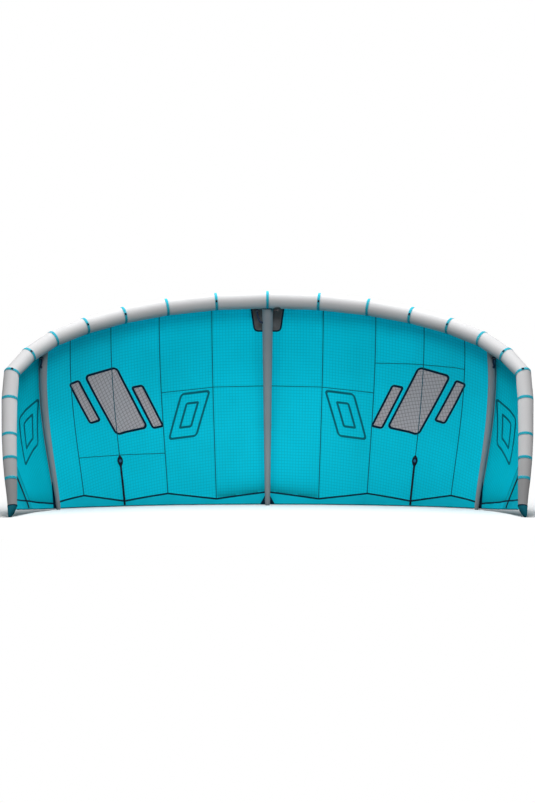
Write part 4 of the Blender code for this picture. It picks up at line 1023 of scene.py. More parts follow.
class KITE_OT_leading_edge(bpy.types.Operator):
    """The leading edge's white cloth tube, with creases beside its bands"""

    bl_idname = "kite.leading_edge"
    bl_label = "Leading edge tube"

    def execute(self, context):
        sizes = context.scene.kite_sizes
        marks, turns = tube_marks(), around()
        stations, turning = np.meshgrid(marks, turns, indexing="ij")
        size = np.abs(stations)
        near = np.round(size).astype(int)
        reach = np.linalg.norm(CENTRES[1:] - CENTRES[:-1], axis=-1)
        away = np.abs(size - near) * reach[np.clip(size.astype(int), 0, LAST - 1)]
        ways = FRAMES[near, 0] * np.cos(turning)[..., None]
        ways = ways + FRAMES[near, 1] * np.sin(turning)[..., None]
        folded = np.clip(np.sum(ways * BENDS[near], axis=-1), 0, None)
        wave = np.sin(turning * 17 + near * 2.1) * np.exp(-away / CREASE_REACH)
        rise = wave * (sizes.pucker + folded * 0.004)
        rise = rise - folded * 0.012 * np.exp(-away / FOLD_REACH)
        rise = rise * np.clip(away / BAND_REACH, 0, 1)
        points = tube(stations, turning, rise - FLOOR_CLEAR)
        layout = np.stack(np.broadcast_arrays(
            lengths_along(tube(marks, 0.0, -TUBE_RADIUS * 0.9))[:, None],
            turns * TUBE_RADIUS), -1)
        # Painted shade, darker on the last sections at the tip
        tones_and_painted_shade = np.take(SECTION_PAINTED_SHADE, np.clip(size.astype(int), 0, LAST - 1))
        cloth_tube = grid("leading_edge_cloth", points, layout, finish("tube"), tones_and_painted_shade)
        merge(cloth_tube)
        nodes = ["leading_edge_sleeve_centre"]
        for name in ("mid", "outer", "tip"):
            nodes += both(f"leading_edge_sleeve_{name}")
        settle(thicken(cloth_tube, SLEEVE_WALL, -1.0), "white_dacron", *nodes)
        return {"FINISHED"}


def station_step(station):
    """Metres in one station, along the tube."""
    first = int(min(abs(station), LAST - 1))
    return float(np.linalg.norm(CENTRES[first + 1] - CENTRES[first]))


class KITE_OT_seam_bands(bpy.types.Operator):
    """Turquoise bands sewn round the leading edge at its seams"""

    bl_idname = "kite.seam_bands"
    bl_label = "Seam bands"

    def execute(self, context):
        sizes = context.scene.kite_sizes
        half, rise, edge = sizes.band / 2, sizes.band_rise, 0.0012
        profile = ((-half, 0.0002), (edge - half, rise), (-half / 2, rise), (0.0, rise),
                   (half / 2, rise), (half - edge, rise), (half, 0.0002),
                   (half - edge, -0.0006), (0.0, -0.0006), (edge - half, -0.0006),
                   (-half, 0.0002))
        turns, made = around(), []
        for band in range(1 - LAST, LAST):
            rows = []
            for place, high in profile:
                middle = band + (FINE if place > 0 else -FINE)
                rows.append(tube(band + place / station_step(middle), turns, high))
            layout = np.stack(np.broadcast_arrays(
                turns * TUBE_RADIUS, np.array([place for place, _ in profile])[:, None]), -1)
            made.append(grid(f"band_{band}", np.array(rows), layout, finish("band")))
            merge(made[-1])
        settle(joined("leading_edge_seam_bands", made), "teal_tape")
        return {"FINISHED"}


# Strips between the canopy and the leading edge: width, and places down the canopy
OUTER_SEAM, INNER_SEAM, INNER_SEAM_TOP, INNER_SEAM_FOLD = 0.03, 0.016, 0.02, 0.03
TUBE_LIFT, SEAM_LIFT = 0.0022, 0.0006
TIP_CLEAR = 0.05


class KITE_OT_edge_seam(bpy.types.Operator):
    """The strips that sew the canopy to the leading edge, inside and outside"""

    bl_idname = "kite.edge_seam"
    bl_label = "Leading edge seam"

    def execute(self, context):
        marks = tube_marks()
        marks = marks[np.abs(marks) < LAST - TIP_CLEAR]
        chord = chord_length(marks)
        turn = between(SEAM_TURNS, np.abs(marks))
        lean = OUTER_SEAM / TUBE_RADIUS
        off = CLOTH / 2 + SEAM_LIFT
        outer = [tube(marks, turn - lean * share, TUBE_LIFT) for share in (1, 0.5)]
        outer += [cloth(marks, share, off) for share in (
            0.001, OUTER_SEAM * 0.5 / chord, OUTER_SEAM / chord)]
        inner = [cloth(marks, down / chord, -off) for down in (
            INNER_SEAM_TOP, INNER_SEAM_FOLD, INNER_SEAM_FOLD + INNER_SEAM)]
        for name, rows, wide, colour, slot in (
            ("outer", outer, OUTER_SEAM, "seam", "white_dacron"),
            ("inner", inner, INNER_SEAM, "strip", "teal_tape"),
        ):
            points = np.array(rows)
            across = np.linspace(-wide, wide, len(rows))[:, None]
            along = lengths_along(points[len(rows) // 2])[None]
            layout = np.stack(np.broadcast_arrays(along, across), -1)
            strip = grid(f"edge_seam_{name}", points, layout, finish(colour))
            settle(thicken(strip, STRIP_WALL), slot)
        return {"FINISHED"}


# The arch of a folded tab over its band: places across and heights
TAB_ARCH = (
    (-0.011, 0.0022), (-0.0075, 0.0026), (-0.0048, 0.0042), (-0.0026, 0.0066), (0.0, 0.0076),
    (0.0026, 0.0066), (0.0048, 0.0042), (0.0075, 0.0026), (0.011, 0.0022),
)
TAB_TRIES = 160


class KITE_OT_bridle_tabs(bpy.types.Operator):
    """Folded webbing tabs on the bands, where bridle lines are tied"""

    bl_idname = "kite.bridle_tabs"
    bl_label = "Bridle tabs"

    def execute(self, context):
        wide = context.scene.kite_sizes.webbing / 2
        made = []
        for band in TAB_STATIONS:
            turns = around(TAB_TRIES)[:-1]
            front = turns[np.argmin(tube(band, turns)[:, 1])]
            for sign in (-1, 1):
                middle = tube(sign * band, front)
                out = unit(middle - tube(sign * band, front, -RADII[band]))
                along = unit(tube(sign * (band + FINE), front) - tube(sign * (band - FINE), front))
                across = unit(np.cross(out, along))
                points = np.array([middle + across * x + out * z for x, z in TAB_ARCH])
                count = len(points)
                way = unit(np.gradient(points, axis=0))
                made.append(ribbon(
                    f"tab_{band}_{sign}", points, np.tile(along, (count, 1)),
                    unit(np.cross(way, along)), wide, 0.0008, finish("webbing")))
        tabs = joined("bridle_tabs", made)
        smooth_by_angle(tabs)
        settle(tabs, "navy_tape")
        return {"FINISHED"}


CUP_STEPS, CUP_ROUND, CUP_TURN = 14, 40, 0.04


def cup_rings(centres, firsts, seconds, radii):
    """Rings of a cup through three places, rounded off at its foot."""
    part = np.linspace(0, 1, CUP_STEPS)
    weights = np.stack((
        2 * (part - 0.5) * (part - 1), -4 * part * (part - 1), 2 * part * (part - 0.5)), -1)
    middle = weights @ np.array(centres)
    first = weights @ (np.array(firsts) * np.array(radii)[:, None])
    second = weights @ (np.array(seconds) * np.array(radii)[:, None])
    turns = around(CUP_ROUND)[None, :, None]
    rings = middle[:, None] + first[:, None] * np.cos(turns) + second[:, None] * np.sin(turns)
    rings[..., 2] = np.clip(rings[..., 2], FLOOR_CLEAR, None)
    return rings


def build_cup(name, rings, colour):
    """A closed cup: rings, a flat foot and a mouth that the sleeve fills."""
    foot = rings[-1].mean(axis=0)
    ends = np.broadcast_to(foot, rings[-1].shape)
    mouth = rings[0].mean(axis=0)
    mouth = np.broadcast_to(mouth, rings[0].shape)
    inner = rings[0] + (mouth - rings[0]) * 0.04
    rows = np.concatenate((mouth[None], inner[None], rings, ends[None]))
    high = lengths_along(rows[:, 0])
    turns = around(CUP_ROUND)[None] * CUP_TURN
    layout = np.stack(np.broadcast_arrays(turns, high[:, None]), -1)
    piece = grid(name, rows, layout, finish(colour))
    merge(piece)
    return piece


def hoop(name, ring, along, wide, high, colour):
    """A tape round a ring of points."""
    points = ring[:-1]
    middle = points.mean(axis=0)
    normals = unit(points - middle)
    closed = np.vstack((points, points[:1]))
    sides = np.broadcast_to(along, closed.shape)
    outs = np.vstack((normals, normals[:1]))
    return ribbon(name, closed + outs * high, sides, outs, wide, high, finish(colour), True)


class KITE_OT_tip_caps(bpy.types.Operator):
    """Pointed cloth caps that close the two ends of the leading edge"""

    bl_idname = "kite.tip_caps"
    bl_label = "Tip caps"

    def execute(self, context):
        axis, radius = AXES[LAST], RADII[LAST]
        first, second = FRAMES[LAST]
        flat = [unit(way * (1, 1, 0)) for way in (first, second)]
        end = CENTRES[LAST] - axis * 0.004
        middle = CENTRES[LAST] + axis * (CENTRES[LAST][2] - TIP_CAP_MID_HEIGHT)
        middle = middle + np.array((TIP_CAP_LEAN / 2, 0, 0))
        foot = middle * (1, 1, 0) + np.array((TIP_CAP_LEAN / 2, 0, 0.0005))
        rings = cup_rings(
            (end, middle, foot), (first, first, flat[0]), (second, second, flat[1]),
            (radius + 0.0016, radius * TIP_CAP_SHARES[0], radius * TIP_CAP_SHARES[1]))
        for side, sign in (("left", -1), ("right", 1)):
            turned = rings * (sign, 1, 1)
            cup = build_cup(f"tip_cap_{side}_cloth", turned, "cap")
            hem = hoop(f"hem_{side}", turned[0], axis * (sign, 1, 1), 0.005, 0.0006, "tape")
            cap = joined(f"tip_cap_{side}_cloth", [cup, hem])
            settle(cap, "dark_blue_cloth", f"tip_cap_{side}")
        return {"FINISHED"}


# Struts

def strut_radius(radii, share):
    """A strut's radius, from its root to its end."""
    return radii[0] + (radii[1] - radii[0]) * share


def strut_rings(station, radii, shares, turns, inset=0.0):
    """Points round a strut, and the middle of each ring."""
    stations = np.full(len(shares), station)
    _, out, across = cloth_frame(stations, shares)
    drop = CLOTH / 2 + STRUT_SEAT + strut_radius(radii, shares)
    centres = canopy(stations, shares) - out * drop[:, None]
    round_it = (out[:, None] * np.cos(turns)[None, :, None]
                + across[:, None] * np.sin(turns)[None, :, None])
    size = (strut_radius(radii, shares) - inset)[:, None, None]
    return centres[:, None] + round_it * size, centres


def strut_mouth(station, radii, turns):
    """The share at which the strut's wall comes out of the leading edge, for each turn."""
    shares = np.linspace(0.012, 0.16, 240)
    rings, _ = strut_rings(station, radii, shares, turns)
    first = int(min(station, LAST - 1))
    here = CENTRES[first] * (1 - station + first) + CENTRES[first + 1] * (station - first)
    axis = unit(CENTRES[first + 1] - CENTRES[first]) if station else np.array((1.0, 0, 0))
    off = rings - here
    off = off - axis * (off @ axis)[..., None]
    out = np.linalg.norm(off, axis=-1) > float(between(RADII, station)) + ROOT_SHADOW_CLEAR
    return shares[np.argmax(out, axis=0)]


# Where a sleeve starts down the chord, its mesh, and the creases at its root and end
STRUT_START, STRUT_STEPS, STRUT_ROUND = 0.03, 120, 44
STRUT_CREASE_AT, STRUT_CREASE_REACH = 0.09, 0.05
# The dark tape painted as the shadow where a strut meets the leading edge: its clearance, mesh,
# and half its width and thickness
ROOT_SHADOW_CLEAR, ROOT_SHADOW_STEPS = 0.001, 72
ROOT_SHADOW_WIDE, ROOT_SHADOW_HIGH = 0.0055, 0.0012
STRIP_STEPS, STRIP_TOP = 90, 0.03
# Height of the triangles by a strut's end, widths below on its inner and outer side, and above
GUSSETS = {
    "centre": (0.105, (0.068, 0.068), 0.01),
    "left": (0.24, (0.012, 0.056), 0.014),
    "right": (0.24, (0.012, 0.056), 0.014),
}
HEM_CLEAR, GUSSET_LIFT = 0.006, 0.0011


class KITE_OT_struts(bpy.types.Operator):
    """Grey cloth struts, the dark tape painted as shadow at their roots, end caps and the strips
    that hold them
    """

    bl_idname = "kite.struts"
    bl_label = "Struts"

    def execute(self, context):
        sizes = context.scene.kite_sizes
        for name, station, radii, sign in STRUTS:
            flip = np.array((sign, 1, 1))
            chord = float(chord_length(np.array(station)))
            end = 1 - STRUT_CAP_HEIGHT / chord
            start = STRUT_START / chord
            shares = start + (end - start) * np.linspace(0, 1, STRUT_STEPS)
            turns = around(STRUT_ROUND)
            rings, centres = strut_rings(station, radii, shares, turns)
            down = (shares - start) * chord
            root = np.exp(-np.abs(down - STRUT_CREASE_AT) / STRUT_CREASE_REACH)[:, None]
            foot = np.exp(-(down[-1] - down) / STRUT_CREASE_REACH)[:, None]
            crease = np.sin(turns * 13)[None] * root
            crease = crease + 0.5 * np.sin(turns * 9 + 1)[None] * foot
            rings = rings + unit(rings - centres[:, None]) * (crease * sizes.pucker)[..., None]
            layout = np.stack(np.broadcast_arrays(down[:, None], turns * radii[0]), -1)
            sleeve = grid(f"strut_{name}_cloth", rings * flip, layout, finish("strut"))
            merge(sleeve)
            thicken(sleeve, SLEEVE_WALL, -1.0)
            settle(sleeve, "grey_dacron", f"strut_sleeve_{name}")
            self.root_painted_shadow(name, station, radii, flip)
            self.cap(name, station, radii, end, flip)
            self.strips(name, station * sign, sizes.flange / 2, end)
            self.gussets(name, station * sign)
        return {"FINISHED"}

    def root_painted_shadow(self, name, station, radii, flip):
        """Dark tape where the strut meets the leading edge, put there as a painted shadow of the
        gap under the tube.
        """
        turns = around(ROOT_SHADOW_STEPS)
        shares = strut_mouth(station, radii, turns)
        kept = (shares > 0.02) & (np.cos(turns) < 0.86)
        turns, shares = turns[kept], shares[kept]
        points, outs, along = [], [], []
        for turn, share in zip(turns, shares):
            ring, centre = strut_rings(
                station, radii, np.array((share, share + FINE)), np.array((turn,)))
            points.append(ring[0, 0])
            outs.append(unit(ring[0, 0] - centre[0]))
            along.append(unit(ring[1, 0] - ring[0, 0]))
        points, outs, along = (np.array(rows) * flip for rows in (points, outs, along))
        # A dark ribbon that stands in for the shadow where the strut leaves the tube
        root_painted_shadow = ribbon(f"strut_{name}_collar", points + outs * ROOT_SHADOW_HIGH + along * 0.002,
                        along, outs, ROOT_SHADOW_WIDE, ROOT_SHADOW_HIGH, finish("tape"))
        settle(root_painted_shadow, "navy_tape")

    def cap(self, name, station, radii, end, flip):
        """The end cap, with its flat foot and hem."""
        rings, centres = strut_rings(station, radii, np.array((end, end + FINE)),
                                     np.array((0.0, np.pi / 2)))
        centre = centres[0]
        along = unit(centres[1] - centres[0])
        radius = float(strut_radius(radii, end))
        ways = [unit(rings[0, i] - centre) for i in (0, 1)]
        flat = [unit(way * (1, 1, 0)) for way in ways]
        middle = centre + along * ((centre[2] - STRUT_CAP_MID_HEIGHT) / -along[2])
        foot = middle * (1, 1, 0) + np.array((0, 0, 0.0004))
        rings = cup_rings(
            (centre - along * 0.012, middle, foot), (ways[0], flat[0], flat[0]),
            (ways[1], flat[1], flat[1]),
            (radius + 0.0012, radius * CAP_SHARES[0], radius * CAP_SHARES[1]))
        cup = build_cup(f"cup_{name}", rings * flip, "strut")
        hem = hoop(f"hem_{name}", (rings * flip)[0], along * flip, 0.004, 0.0005, "strut")
        cap = joined(f"strut_{name}_end_cap", [cup, hem])
        settle(cap, "dark_blue_cloth", f"strut_end_cap_{name}")

    def gussets(self, name, station):
        """Dark cloth triangles on the trailing edge, beside the strut's end."""
        chord = float(chord_length(np.array(abs(station))))
        scale = FINE / np.linalg.norm(
            canopy(abs(station) + FINE, 0.97) - canopy(abs(station), 0.97))
        high, wide, top = GUSSETS[name]
        made = []
        for side in (-1, 1):
            part, across = np.meshgrid(np.linspace(0, 1, 12), np.linspace(0, 1, 8),
                                       indexing="ij")
            reach = top + (wide[0 if side * station <= 0 else 1] - top) * part
            stations = station + side * across * reach * scale
            shares = 1 - (high * (1 - part) + HEM_CLEAR) / chord
            points = cloth(stations, shares, -(CLOTH / 2 + GUSSET_LIFT))
            layout = np.stack((across * reach, part * high), -1)
            piece = grid(f"gusset_{name}_{side}", points, layout, finish("tape"))
            merge(piece)
            made.append(thicken(piece, PATCH_WALL))
        settle(joined(f"strut_{name}_gussets", made), "teal_tape")

    def strips(self, name, station, half, end):
        """Strips inside and outside the canopy, along the line that the strut is sewn to."""
        shares = np.linspace(STRIP_TOP, end, STRIP_STEPS)
        stations = np.full(STRIP_STEPS, station)
        for side, colour, off in (("inner", "strut", -1), ("outer", "strip", 1)):
            points, sides, outs = on_cloth(stations, shares, off * (CLOTH / 2 + 0.0003))
            strip = ribbon(f"strut_{name}_strip_{side}", points, sides, outs, half,
                           0.0005, finish(colour))
            settle(strip, "grey_dacron" if off < 0 else "teal_tape")


# Canopy

STRIP_NAMES = ("centre", "inner", "middle", "outer", "strut_side", "tip_side", "tip")
# Each strip's own slight colour change, and painted shade that darkens the two strips nearest the
# tip
STRIP_TONES_AND_PAINTED_SHADE = (1.0, 0.985, 1.0, 0.985, 1.0, 0.84, 0.66)
# Painted shade above the trailing seam: its depth, reach, and strength beside each strut
SHADE_DEPTH, SHADE_REACH = 0.62, 0.055
SHADE_CENTRE, SHADE_SIDE = 1.0, 0.7
CHORD_POWER, CHORD_END = 1.15, 0.999


def strip_tone_and_painted_shade(size):
    """A little unlike shade for each strip of cloth, with painted shade on the strips nearest the
    tip.
    """
    index = np.clip(np.searchsorted(SEAMS, size, side="right") - 1, 0, len(SEAMS) - 2)
    return np.take(STRIP_TONES_AND_PAINTED_SHADE, index)


def canopy_marks():
    """Stations across the canopy, with one on every seam."""
    marks = [np.array((0.0,))]
    for low, high in zip(SEAMS, SEAMS[1:]):
        wide = np.diff(np.interp((low, high), SPAN_STATIONS, SPAN_PLACES))[0]
        count = max(4, round(wide / CLOTH_STEP))
        marks.append(np.linspace(low, high, count + 1)[1:])
    half = np.concatenate(marks)
    return np.concatenate((-half[:0:-1], half))


def tail_painted_shade(stations, shares):
    """Painted shade just above the trailing seam, beside the centre and side struts."""
    size = np.abs(stations)
    left = (tail_band_share(stations) - shares) * chord_length(stations)
    shade = np.exp(-np.clip(left, 0, None) / SHADE_REACH) * (left > 0)
    inner, outer = SEAMS[5:7]
    inside = np.where(size < SEAMS[1], SHADE_CENTRE, 0.0)
    inside = inside + np.where((size > inner) & (size < outer), SHADE_SIDE, 0)
    return 1 - SHADE_DEPTH * shade * inside


class KITE_OT_canopy(bpy.types.Operator):
    """The canopy's one continuous sheet of sailcloth"""

    bl_idname = "kite.canopy"
    bl_label = "Canopy"

    def execute(self, context):
        sizes = context.scene.kite_sizes
        marks = canopy_marks()
        part = np.linspace(0, 1, sizes.panels + 1)
        stations, shares = np.meshgrid(
            marks, part ** CHORD_POWER * CHORD_END, indexing="ij")
        points = cloth(stations, shares)
        down = shares * chord_length(stations)
        layout = np.stack((span_place(stations), down), -1)
        # Each strip's colour change, with painted shade near the tip and above the trailing seam
        tones_and_painted_shade = strip_tone_and_painted_shade(np.abs(stations)) * tail_painted_shade(stations, shares)
        sheet = grid("canopy_cloth", points, layout, finish("canopy"), tones_and_painted_shade)
        merge(sheet)
        thicken(sheet, sizes.cloth)
        nodes = [node for name in STRIP_NAMES for node in both(f"canopy_{name}")]
        settle(sheet, "teal_ripstop", *nodes)
        return {"FINISHED"}


# The strut at 5.25 hides the seam there. Each seam's start, and its width beside the others
SEWN_SEAMS = (
    (1.07, 0.012, 1.0), (2.13, 0.012, 1.0), (3.24, 0.012, 1.0), (4.31, 0.012, 1.0),
    (8.0, 0.02, 0.7),
)
# Station and share at each end of a seam that runs across a strip
CROSS_SEAMS = (
    (-2.13, -1.07, 0.436, 0.426),
    (-1.07, 1.07, 0.426, 0.426),
    (1.07, 2.13, 0.426, 0.436),
    (-4.31, -2.13, 0.725, 0.74),
    (2.13, 4.31, 0.284, 0.228),
)
CROSS_WIDE = 0.85
SEAM_STEPS, CROSS_STEPS = 110, 40


class KITE_OT_canopy_seams(bpy.types.Operator):
    """The canopy's seams: down the chord between strips, and across some of them"""

    bl_idname = "kite.canopy_seams"
    bl_label = "Canopy seams"

    def execute(self, context):
        half = context.scene.kite_sizes.seam_tape / 2
        made = []
        for seam, low, wide in SEWN_SEAMS:
            shares = np.linspace(low, float(tail_band_share(np.array(seam))), SEAM_STEPS)
            for sign in (-1, 1):
                points, sides, outs = on_cloth(np.full(SEAM_STEPS, sign * seam), shares)
                made.append(ribbon(f"seam_{seam}_{sign}", points, sides, outs, half * wide,
                                   CLOTH / 2 + 0.0004, finish("line")))
        for low, high, first, second in CROSS_SEAMS:
            stations = np.linspace(low, high, CROSS_STEPS)
            points, sides, outs = on_cloth(stations, np.linspace(first, second, CROSS_STEPS))
            made.append(ribbon(f"cross_{low}", points, sides, outs, half * CROSS_WIDE,
                               CLOTH / 2 + 0.0003, finish("line")))
        seams = joined("canopy_seams", made)
        settle(seams, "teal_tape")
        return {"FINISHED"}


TAIL_ROWS, ZIGZAG_STEPS = 9, 24
DOUBLED = 0.0009
HEM_SHARE, HEM_HEIGHT, HEM_WIDE, HEM_HIGH = 0.9975, 0.0045, 0.0042, 0.0019


class KITE_OT_trailing_edge(bpy.types.Operator):
    """Doubled cloth along the trailing edge, its zigzag seam and hem"""

    bl_idname = "kite.trailing_edge"
    bl_label = "Trailing edge"

    def execute(self, context):
        marks = canopy_marks()
        part = np.linspace(0, 1, TAIL_ROWS)
        stations = np.broadcast_to(marks[:, None], (len(marks), TAIL_ROWS))
        first = tail_band_share(marks)[:, None]
        shares = first + (1 - first) * part
        points = cloth(stations, shares)
        down = (shares - first) * chord_length(stations)
        layout = np.stack((span_place(stations), down), -1)
        # Each strip's colour change, with painted shade on the strips nearest the tip
        tones_and_painted_shade = strip_tone_and_painted_shade(np.abs(stations))
        band = grid("trailing_edge_cloth", points, layout, finish("tail"), tones_and_painted_shade)
        merge(band)
        thicken(band, CLOTH + DOUBLED)
        settle(band, "teal_tape", *both("trailing_edge_band_inner"),
               *both("trailing_edge_band_outer"))
        self.seam(context.scene.kite_sizes.tail_seam / 2)
        self.hem()
        return {"FINISHED"}

    def seam(self, half):
        """The dark zigzag seam, each straight run of its own."""
        corners = sorted({sign * s for s in TAIL_BAND_STATIONS for sign in (-1, 1)})
        made = []
        for low, high in zip(corners, corners[1:]):
            stations = np.linspace(low, high, ZIGZAG_STEPS)
            points, sides, outs = on_cloth(stations, tail_band_share(stations))
            made.append(ribbon(f"zigzag_{low}", points, sides, outs, half,
                               CLOTH / 2 + DOUBLED, finish("tape")))
        settle(joined("trailing_edge_seam", made), "teal_tape")

    def hem(self):
        """The folded hem with its cord, along the very edge."""
        marks = canopy_marks()
        points, sides, outs = on_cloth(marks, np.full(len(marks), HEM_SHARE))
        points[:, 2] = np.clip(points[:, 2], HEM_HEIGHT, None)
        hem = ribbon("trailing_edge_hem", points, sides, outs, HEM_WIDE, HEM_HIGH,
                     finish("line"))
        settle(hem, "teal_tape")


PATCH_ROWS, PATCH_COLUMNS, PATCH_FOOT_STEPS = 40, 49, 30
PATCH_LIFT, PIPING_LIFT, PIPING_WIDE = 0.0007, 0.0012, 0.0075


class KITE_OT_root_patch(bpy.types.Operator):
    """The charcoal patch behind the centre strut's root, with its taped edge"""

    bl_idname = "kite.root_patch"
    bl_label = "Root patch"

    def execute(self, context):
        chord = float(chord_length(np.array(0.0)))
        scale = FINE / np.linalg.norm(canopy(FINE, 0.05) - canopy(0.0, 0.05))
        share = np.linspace(0, 1, PATCH_ROWS)
        left = PATCH_LENGTH * (1 - share)
        bend = np.clip(1 - left / PATCH_CORNER, 0, 1)
        trim = PATCH_CORNER * (1 - np.sqrt(1 - bend**2))
        half = PATCH_TOP + (PATCH_FOOT - PATCH_TOP) * share - trim
        down = (PATCH_START + PATCH_LENGTH * share) / chord
        part = np.linspace(-1, 1, PATCH_COLUMNS)
        stations = half[:, None] * part * scale
        shares = np.broadcast_to(down[:, None], stations.shape)
        points = cloth(stations, shares, -(CLOTH / 2 + PATCH_LIFT))
        layout = np.stack((half[:, None] * part, shares * chord), -1)
        patch = grid("root_patch_cloth", points, layout, finish("patch"))
        merge(patch)
        thicken(patch, PATCH_WALL)
        settle(patch, "charcoal_cloth", "strut_root_patch")
        foot = np.linspace(-half[-1], half[-1], PATCH_FOOT_STEPS)[1:-1]
        places = np.concatenate((-half, foot, half[::-1]))
        downs = np.concatenate((down, np.full(len(foot), down[-1]), down[::-1]))
        line, sides, outs = on_cloth(places * scale, downs, -(CLOTH / 2 + PIPING_LIFT))
        tape = ribbon("root_patch_edge", line, sides, outs, PIPING_WIDE, PATCH_WALL,
                      finish("tape"))
        settle(tape, "navy_tape")
        return {"FINISHED"}


# A pocket's place off the cloth and half its thickness, and the blue mark on its drop
POCKET_OFF, POCKET_HIGH, POCKET_LEAST = 0.0042, 0.0021, 0.009
DROP_STEPS, POCKET_STEPS, MARK_STEPS = 26, 50, 12
MARK_OFF, MARK_HIGH, MARK_WIDE = 0.0064, 0.0004, 0.24
MARK_FROM, MARK_TO, MARK_ROUND = 0.38, 0.66, 0.35


class KITE_OT_battens(bpy.types.Operator):
    """Batten pockets with their drop-shaped front ends"""

    bl_idname = "kite.battens"
    bl_label = "Battens"

    def execute(self, context):
        pocket = context.scene.kite_sizes.pocket
        for name, station, whole, widest in BATTENS:
            chord = float(chord_length(np.array(station)))
            end = 1 - BATTEN_TAIL / chord
            start = end - whole / chord
            drop = DROP_LENGTH / chord
            shares = np.concatenate((
                np.linspace(start, start + drop, DROP_STEPS),
                np.linspace(start + drop, end, POCKET_STEPS)[1:]))
            shape = np.array(DROP_SHAPE)
            wide = np.interp((shares - start) / drop, shape[:, 0], shape[:, 1] * widest,
                             right=pocket)
            wide = np.where(
                shares - start > drop, pocket, np.clip(wide, POCKET_LEAST, None)) / 2
            mark = np.linspace(start + drop * MARK_FROM, start + drop * MARK_TO, MARK_STEPS)
            mark_wide = widest * MARK_WIDE * np.sin(
                np.linspace(MARK_ROUND, np.pi - MARK_ROUND, MARK_STEPS))
            for side, sign in (("left", -1), ("right", 1)):
                stations = np.full(len(shares), sign * station)
                points, sides, outs = on_cloth(stations, shares, -POCKET_OFF)
                strip = ribbon(f"batten_pocket_{name}_{side}_cloth", points, sides, outs,
                               wide, POCKET_HIGH, finish("webbing"))
                points, sides, outs = on_cloth(
                    np.full(MARK_STEPS, sign * station), mark, -MARK_OFF)
                dot = ribbon(f"mark_{name}_{side}", points, sides, outs, mark_wide,
                             MARK_HIGH, finish("blue"))
                whole_pocket = joined(f"batten_pocket_{name}_{side}_cloth", [strip, dot])
                settle(whole_pocket, "navy_tape", f"batten_pocket_{name}_{side}")
                repaint(f"batten_{name}_{side}", "rod")
        return {"FINISHED"}


# Hoses, bladders and moulded pieces

HOSE_STRAIGHT_STEPS, HOSE_BEND_STEPS, HOSE_ROUND = 22, 26, 28
HOSE_PINCH = 0.009


def hose_course(ends):
    """Points, directions and flatness of a hose: straight past the clip, then a bend."""
    start, leaving, end, arriving = (np.array(row) for row in ends)
    first = np.linspace(0, HOSE_STRAIGHT, HOSE_STRAIGHT_STEPS)
    straight = start + leaving * first[:, None]
    turning = start + leaving * HOSE_STRAIGHT
    points = np.array((turning, turning + leaving * HOSE_BEND, end - arriving * HOSE_BEND, end))
    part = np.linspace(0, 1, HOSE_BEND_STEPS)[1:, None]
    rest = 1 - part
    curve = (points[0] * rest**3 + points[1] * 3 * rest**2 * part
             + points[2] * 3 * rest * part**2 + points[3] * part**3)
    path = np.vstack((straight, curve))
    off = np.abs(first - HOSE_CLIP_AT)
    pinched = 1 - np.clip((off - HOSE_PINCH) / HOSE_PINCH, 0, 1)
    flat = np.concatenate((pinched ** 2 * (3 - 2 * pinched), np.zeros(len(curve))))
    return path, flat


class KITE_OT_hoses(bpy.types.Operator):
    """Short inflation hoses from the leading edge to each strut"""

    bl_idname = "kite.hoses"
    bl_label = "Hoses"

    def execute(self, context):
        for name, flip in (("centre", -1), ("left", -1), ("right", 1)):
            path, flat = hose_course(HOSES.get(name, HOSES["right"]))
            along = unit(np.gradient(path, axis=0))
            opening = np.array((0.0, -1.0, 0.0))
            opening = unit(opening - along * (along @ opening)[:, None])
            across = np.cross(along, opening)
            wide = HOSE_RADIUS + (HOSE_FLAT_WIDE - HOSE_RADIUS) * flat
            high = HOSE_RADIUS + (HOSE_FLAT_HIGH - HOSE_RADIUS) * flat
            big, thick = HOSE_FLANGE
            ends = lengths_along(path)
            order = np.concatenate(((0, 0), np.arange(len(path)), (-1, -1)))
            wide, high = (np.concatenate(((big, big), row, (big, big))) for row in (wide, high))
            shift = np.zeros(len(order))
            shift[1], shift[2] = thick, thick * 1.02
            shift[-3], shift[-2] = -thick * 1.02, -thick
            points = path[order] + along[order] * shift[:, None]
            turns = around(HOSE_ROUND)
            rings = (points[:, None]
                     + across[order][:, None] * (wide[:, None] * np.cos(turns))[..., None]
                     + opening[order][:, None] * (high[:, None] * np.sin(turns))[..., None])
            layout = np.stack(np.broadcast_arrays(ends[order][:, None], turns * HOSE_RADIUS), -1)
            hose = grid(f"hose_{name}", rings * (flip, 1, 1), layout, finish("rubber"), ends=True)
            merge(hose)
            smooth_by_angle(hose, 50)
            settle(hose, "black_rubber", f"pump_hose_{name}")
        return {"FINISHED"}


FILM_INSET = 0.0035
FILM_ROUND, EDGE_FILM_STEPS, STRUT_FILM_STEPS = 24, 121, 40
STRUT_FILM = (0.09, 0.96)


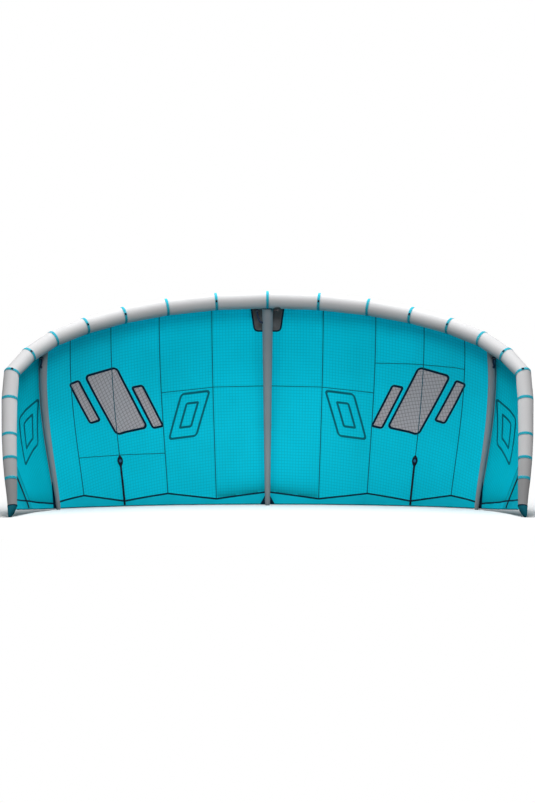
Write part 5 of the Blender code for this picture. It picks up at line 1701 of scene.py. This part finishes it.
class KITE_OT_bladders(bpy.types.Operator):
    """Air bladders inside the leading edge and the struts"""

    bl_idname = "kite.bladders"
    bl_label = "Bladders"

    def execute(self, context):
        turns = around(FILM_ROUND)
        marks = np.linspace(-LAST, LAST, EDGE_FILM_STEPS)
        rings = tube(marks[:, None], turns[None], -FILM_INSET)
        layout = np.stack(np.broadcast_arrays(
            lengths_along(rings[:, 0])[:, None], turns * TUBE_RADIUS), -1)
        edge = grid("edge_bladder_film", rings, layout, finish("film"), ends=True)
        merge(edge)
        settle(edge, "clear_film", "leading_edge_bladder")
        for name, station, radii, sign in STRUTS:
            shares = np.linspace(*STRUT_FILM, STRUT_FILM_STEPS)
            rings, _ = strut_rings(station, radii, shares, turns, FILM_INSET)
            layout = np.stack(np.broadcast_arrays(shares[:, None], turns * radii[0]), -1)
            film = grid(f"strut_{name}_bladder_film", rings * (sign, 1, 1), layout,
                        finish("film"), ends=True)
            merge(film)
            settle(film, "clear_film", f"strut_bladder_{name}")
        return {"FINISHED"}


VALVE_RING = (0.019, 0.046)
VALVE_RING_ROUND, VALVE_RING_ROWS, VALVE_STATION = 60, 8, 0.2


class KITE_OT_hardware(bpy.types.Operator):
    """Finishes of the inflation valve, the hose clips and the cloth ring at the valve"""

    bl_idname = "kite.hardware"
    bl_label = "Valve and clips"

    def execute(self, context):
        plain = {"valve_base": "valve", "valve_insert": "insert", "valve_cap": "insert"}
        for name, *_ in STRUTS:
            plain[f"clip_base_{name}"] = "black"
            plain[f"clip_lever_{name}"] = "lever"
        for node, key in plain.items():
            repaint(node, key)
        turns = around(VALVE_RING_ROUND)
        low = np.linspace(*VALVE_RING, VALVE_RING_ROWS)
        offset = low[:, None, None] * np.stack((np.cos(turns), np.sin(turns)), -1)
        x, y = VALVE[0] + offset[..., 0], VALVE[1] + offset[..., 1]
        far = np.clip(np.abs(y - VALVE[1]) / TUBE_RADIUS, 0, 0.95)
        z = float(tube(VALVE_STATION, around(400)).min(axis=0)[2])
        z = z + TUBE_RADIUS * (1 - np.sqrt(1 - far**2)) - PATCH_WALL
        points = np.stack((x, y, z), -1)
        layout = np.stack(np.broadcast_arrays(turns * 0.03, low[:, None]), -1)
        ring = grid("valve_cloth_ring", points, layout, finish("patch"))
        merge(ring)
        settle(thicken(ring, STRIP_WALL), "charcoal_cloth")
        return {"FINISHED"}


OPERATORS = (
    KITE_OT_stage, KITE_OT_leading_edge, KITE_OT_seam_bands, KITE_OT_bridle_tabs,
    KITE_OT_tip_caps, KITE_OT_struts, KITE_OT_canopy, KITE_OT_canopy_seams,
    KITE_OT_edge_seam, KITE_OT_trailing_edge, KITE_OT_root_patch, KITE_OT_battens,
    KITE_OT_hoses, KITE_OT_bladders, KITE_OT_hardware,
)


class KITE_PT_panel(bpy.types.Panel):
    """Lists the kite's pieces, sizes and colours"""

    bl_idname = "KITE_PT_panel"
    bl_label = "Kitesurfing kite"
    bl_space_type = "VIEW_3D"
    bl_region_type = "UI"
    bl_category = "Kite"

    def draw(self, context):
        for operator in OPERATORS:
            self.layout.operator(operator.bl_idname)
        for settings in (context.scene.kite_sizes, context.scene.kite_colours):
            for key in settings.bl_rna.properties.keys():
                if key not in ("rna_type", "name"):
                    self.layout.prop(settings, key)


CLASSES = (KiteSizes, KiteColours, *OPERATORS, KITE_PT_panel)


def register():
    for item in CLASSES:
        bpy.utils.register_class(item)
    bpy.types.Scene.kite_sizes = PointerProperty(type=KiteSizes)
    bpy.types.Scene.kite_colours = PointerProperty(type=KiteColours)


def unregister():
    del bpy.types.Scene.kite_colours
    del bpy.types.Scene.kite_sizes
    for item in reversed(CLASSES):
        bpy.utils.unregister_class(item)


def main():
    """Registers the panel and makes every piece."""
    register()
    for operator in OPERATORS:
        group_name, name = operator.bl_idname.split(".")
        getattr(getattr(bpy.ops, group_name), name)()


if __name__ == "__main__":
    main()
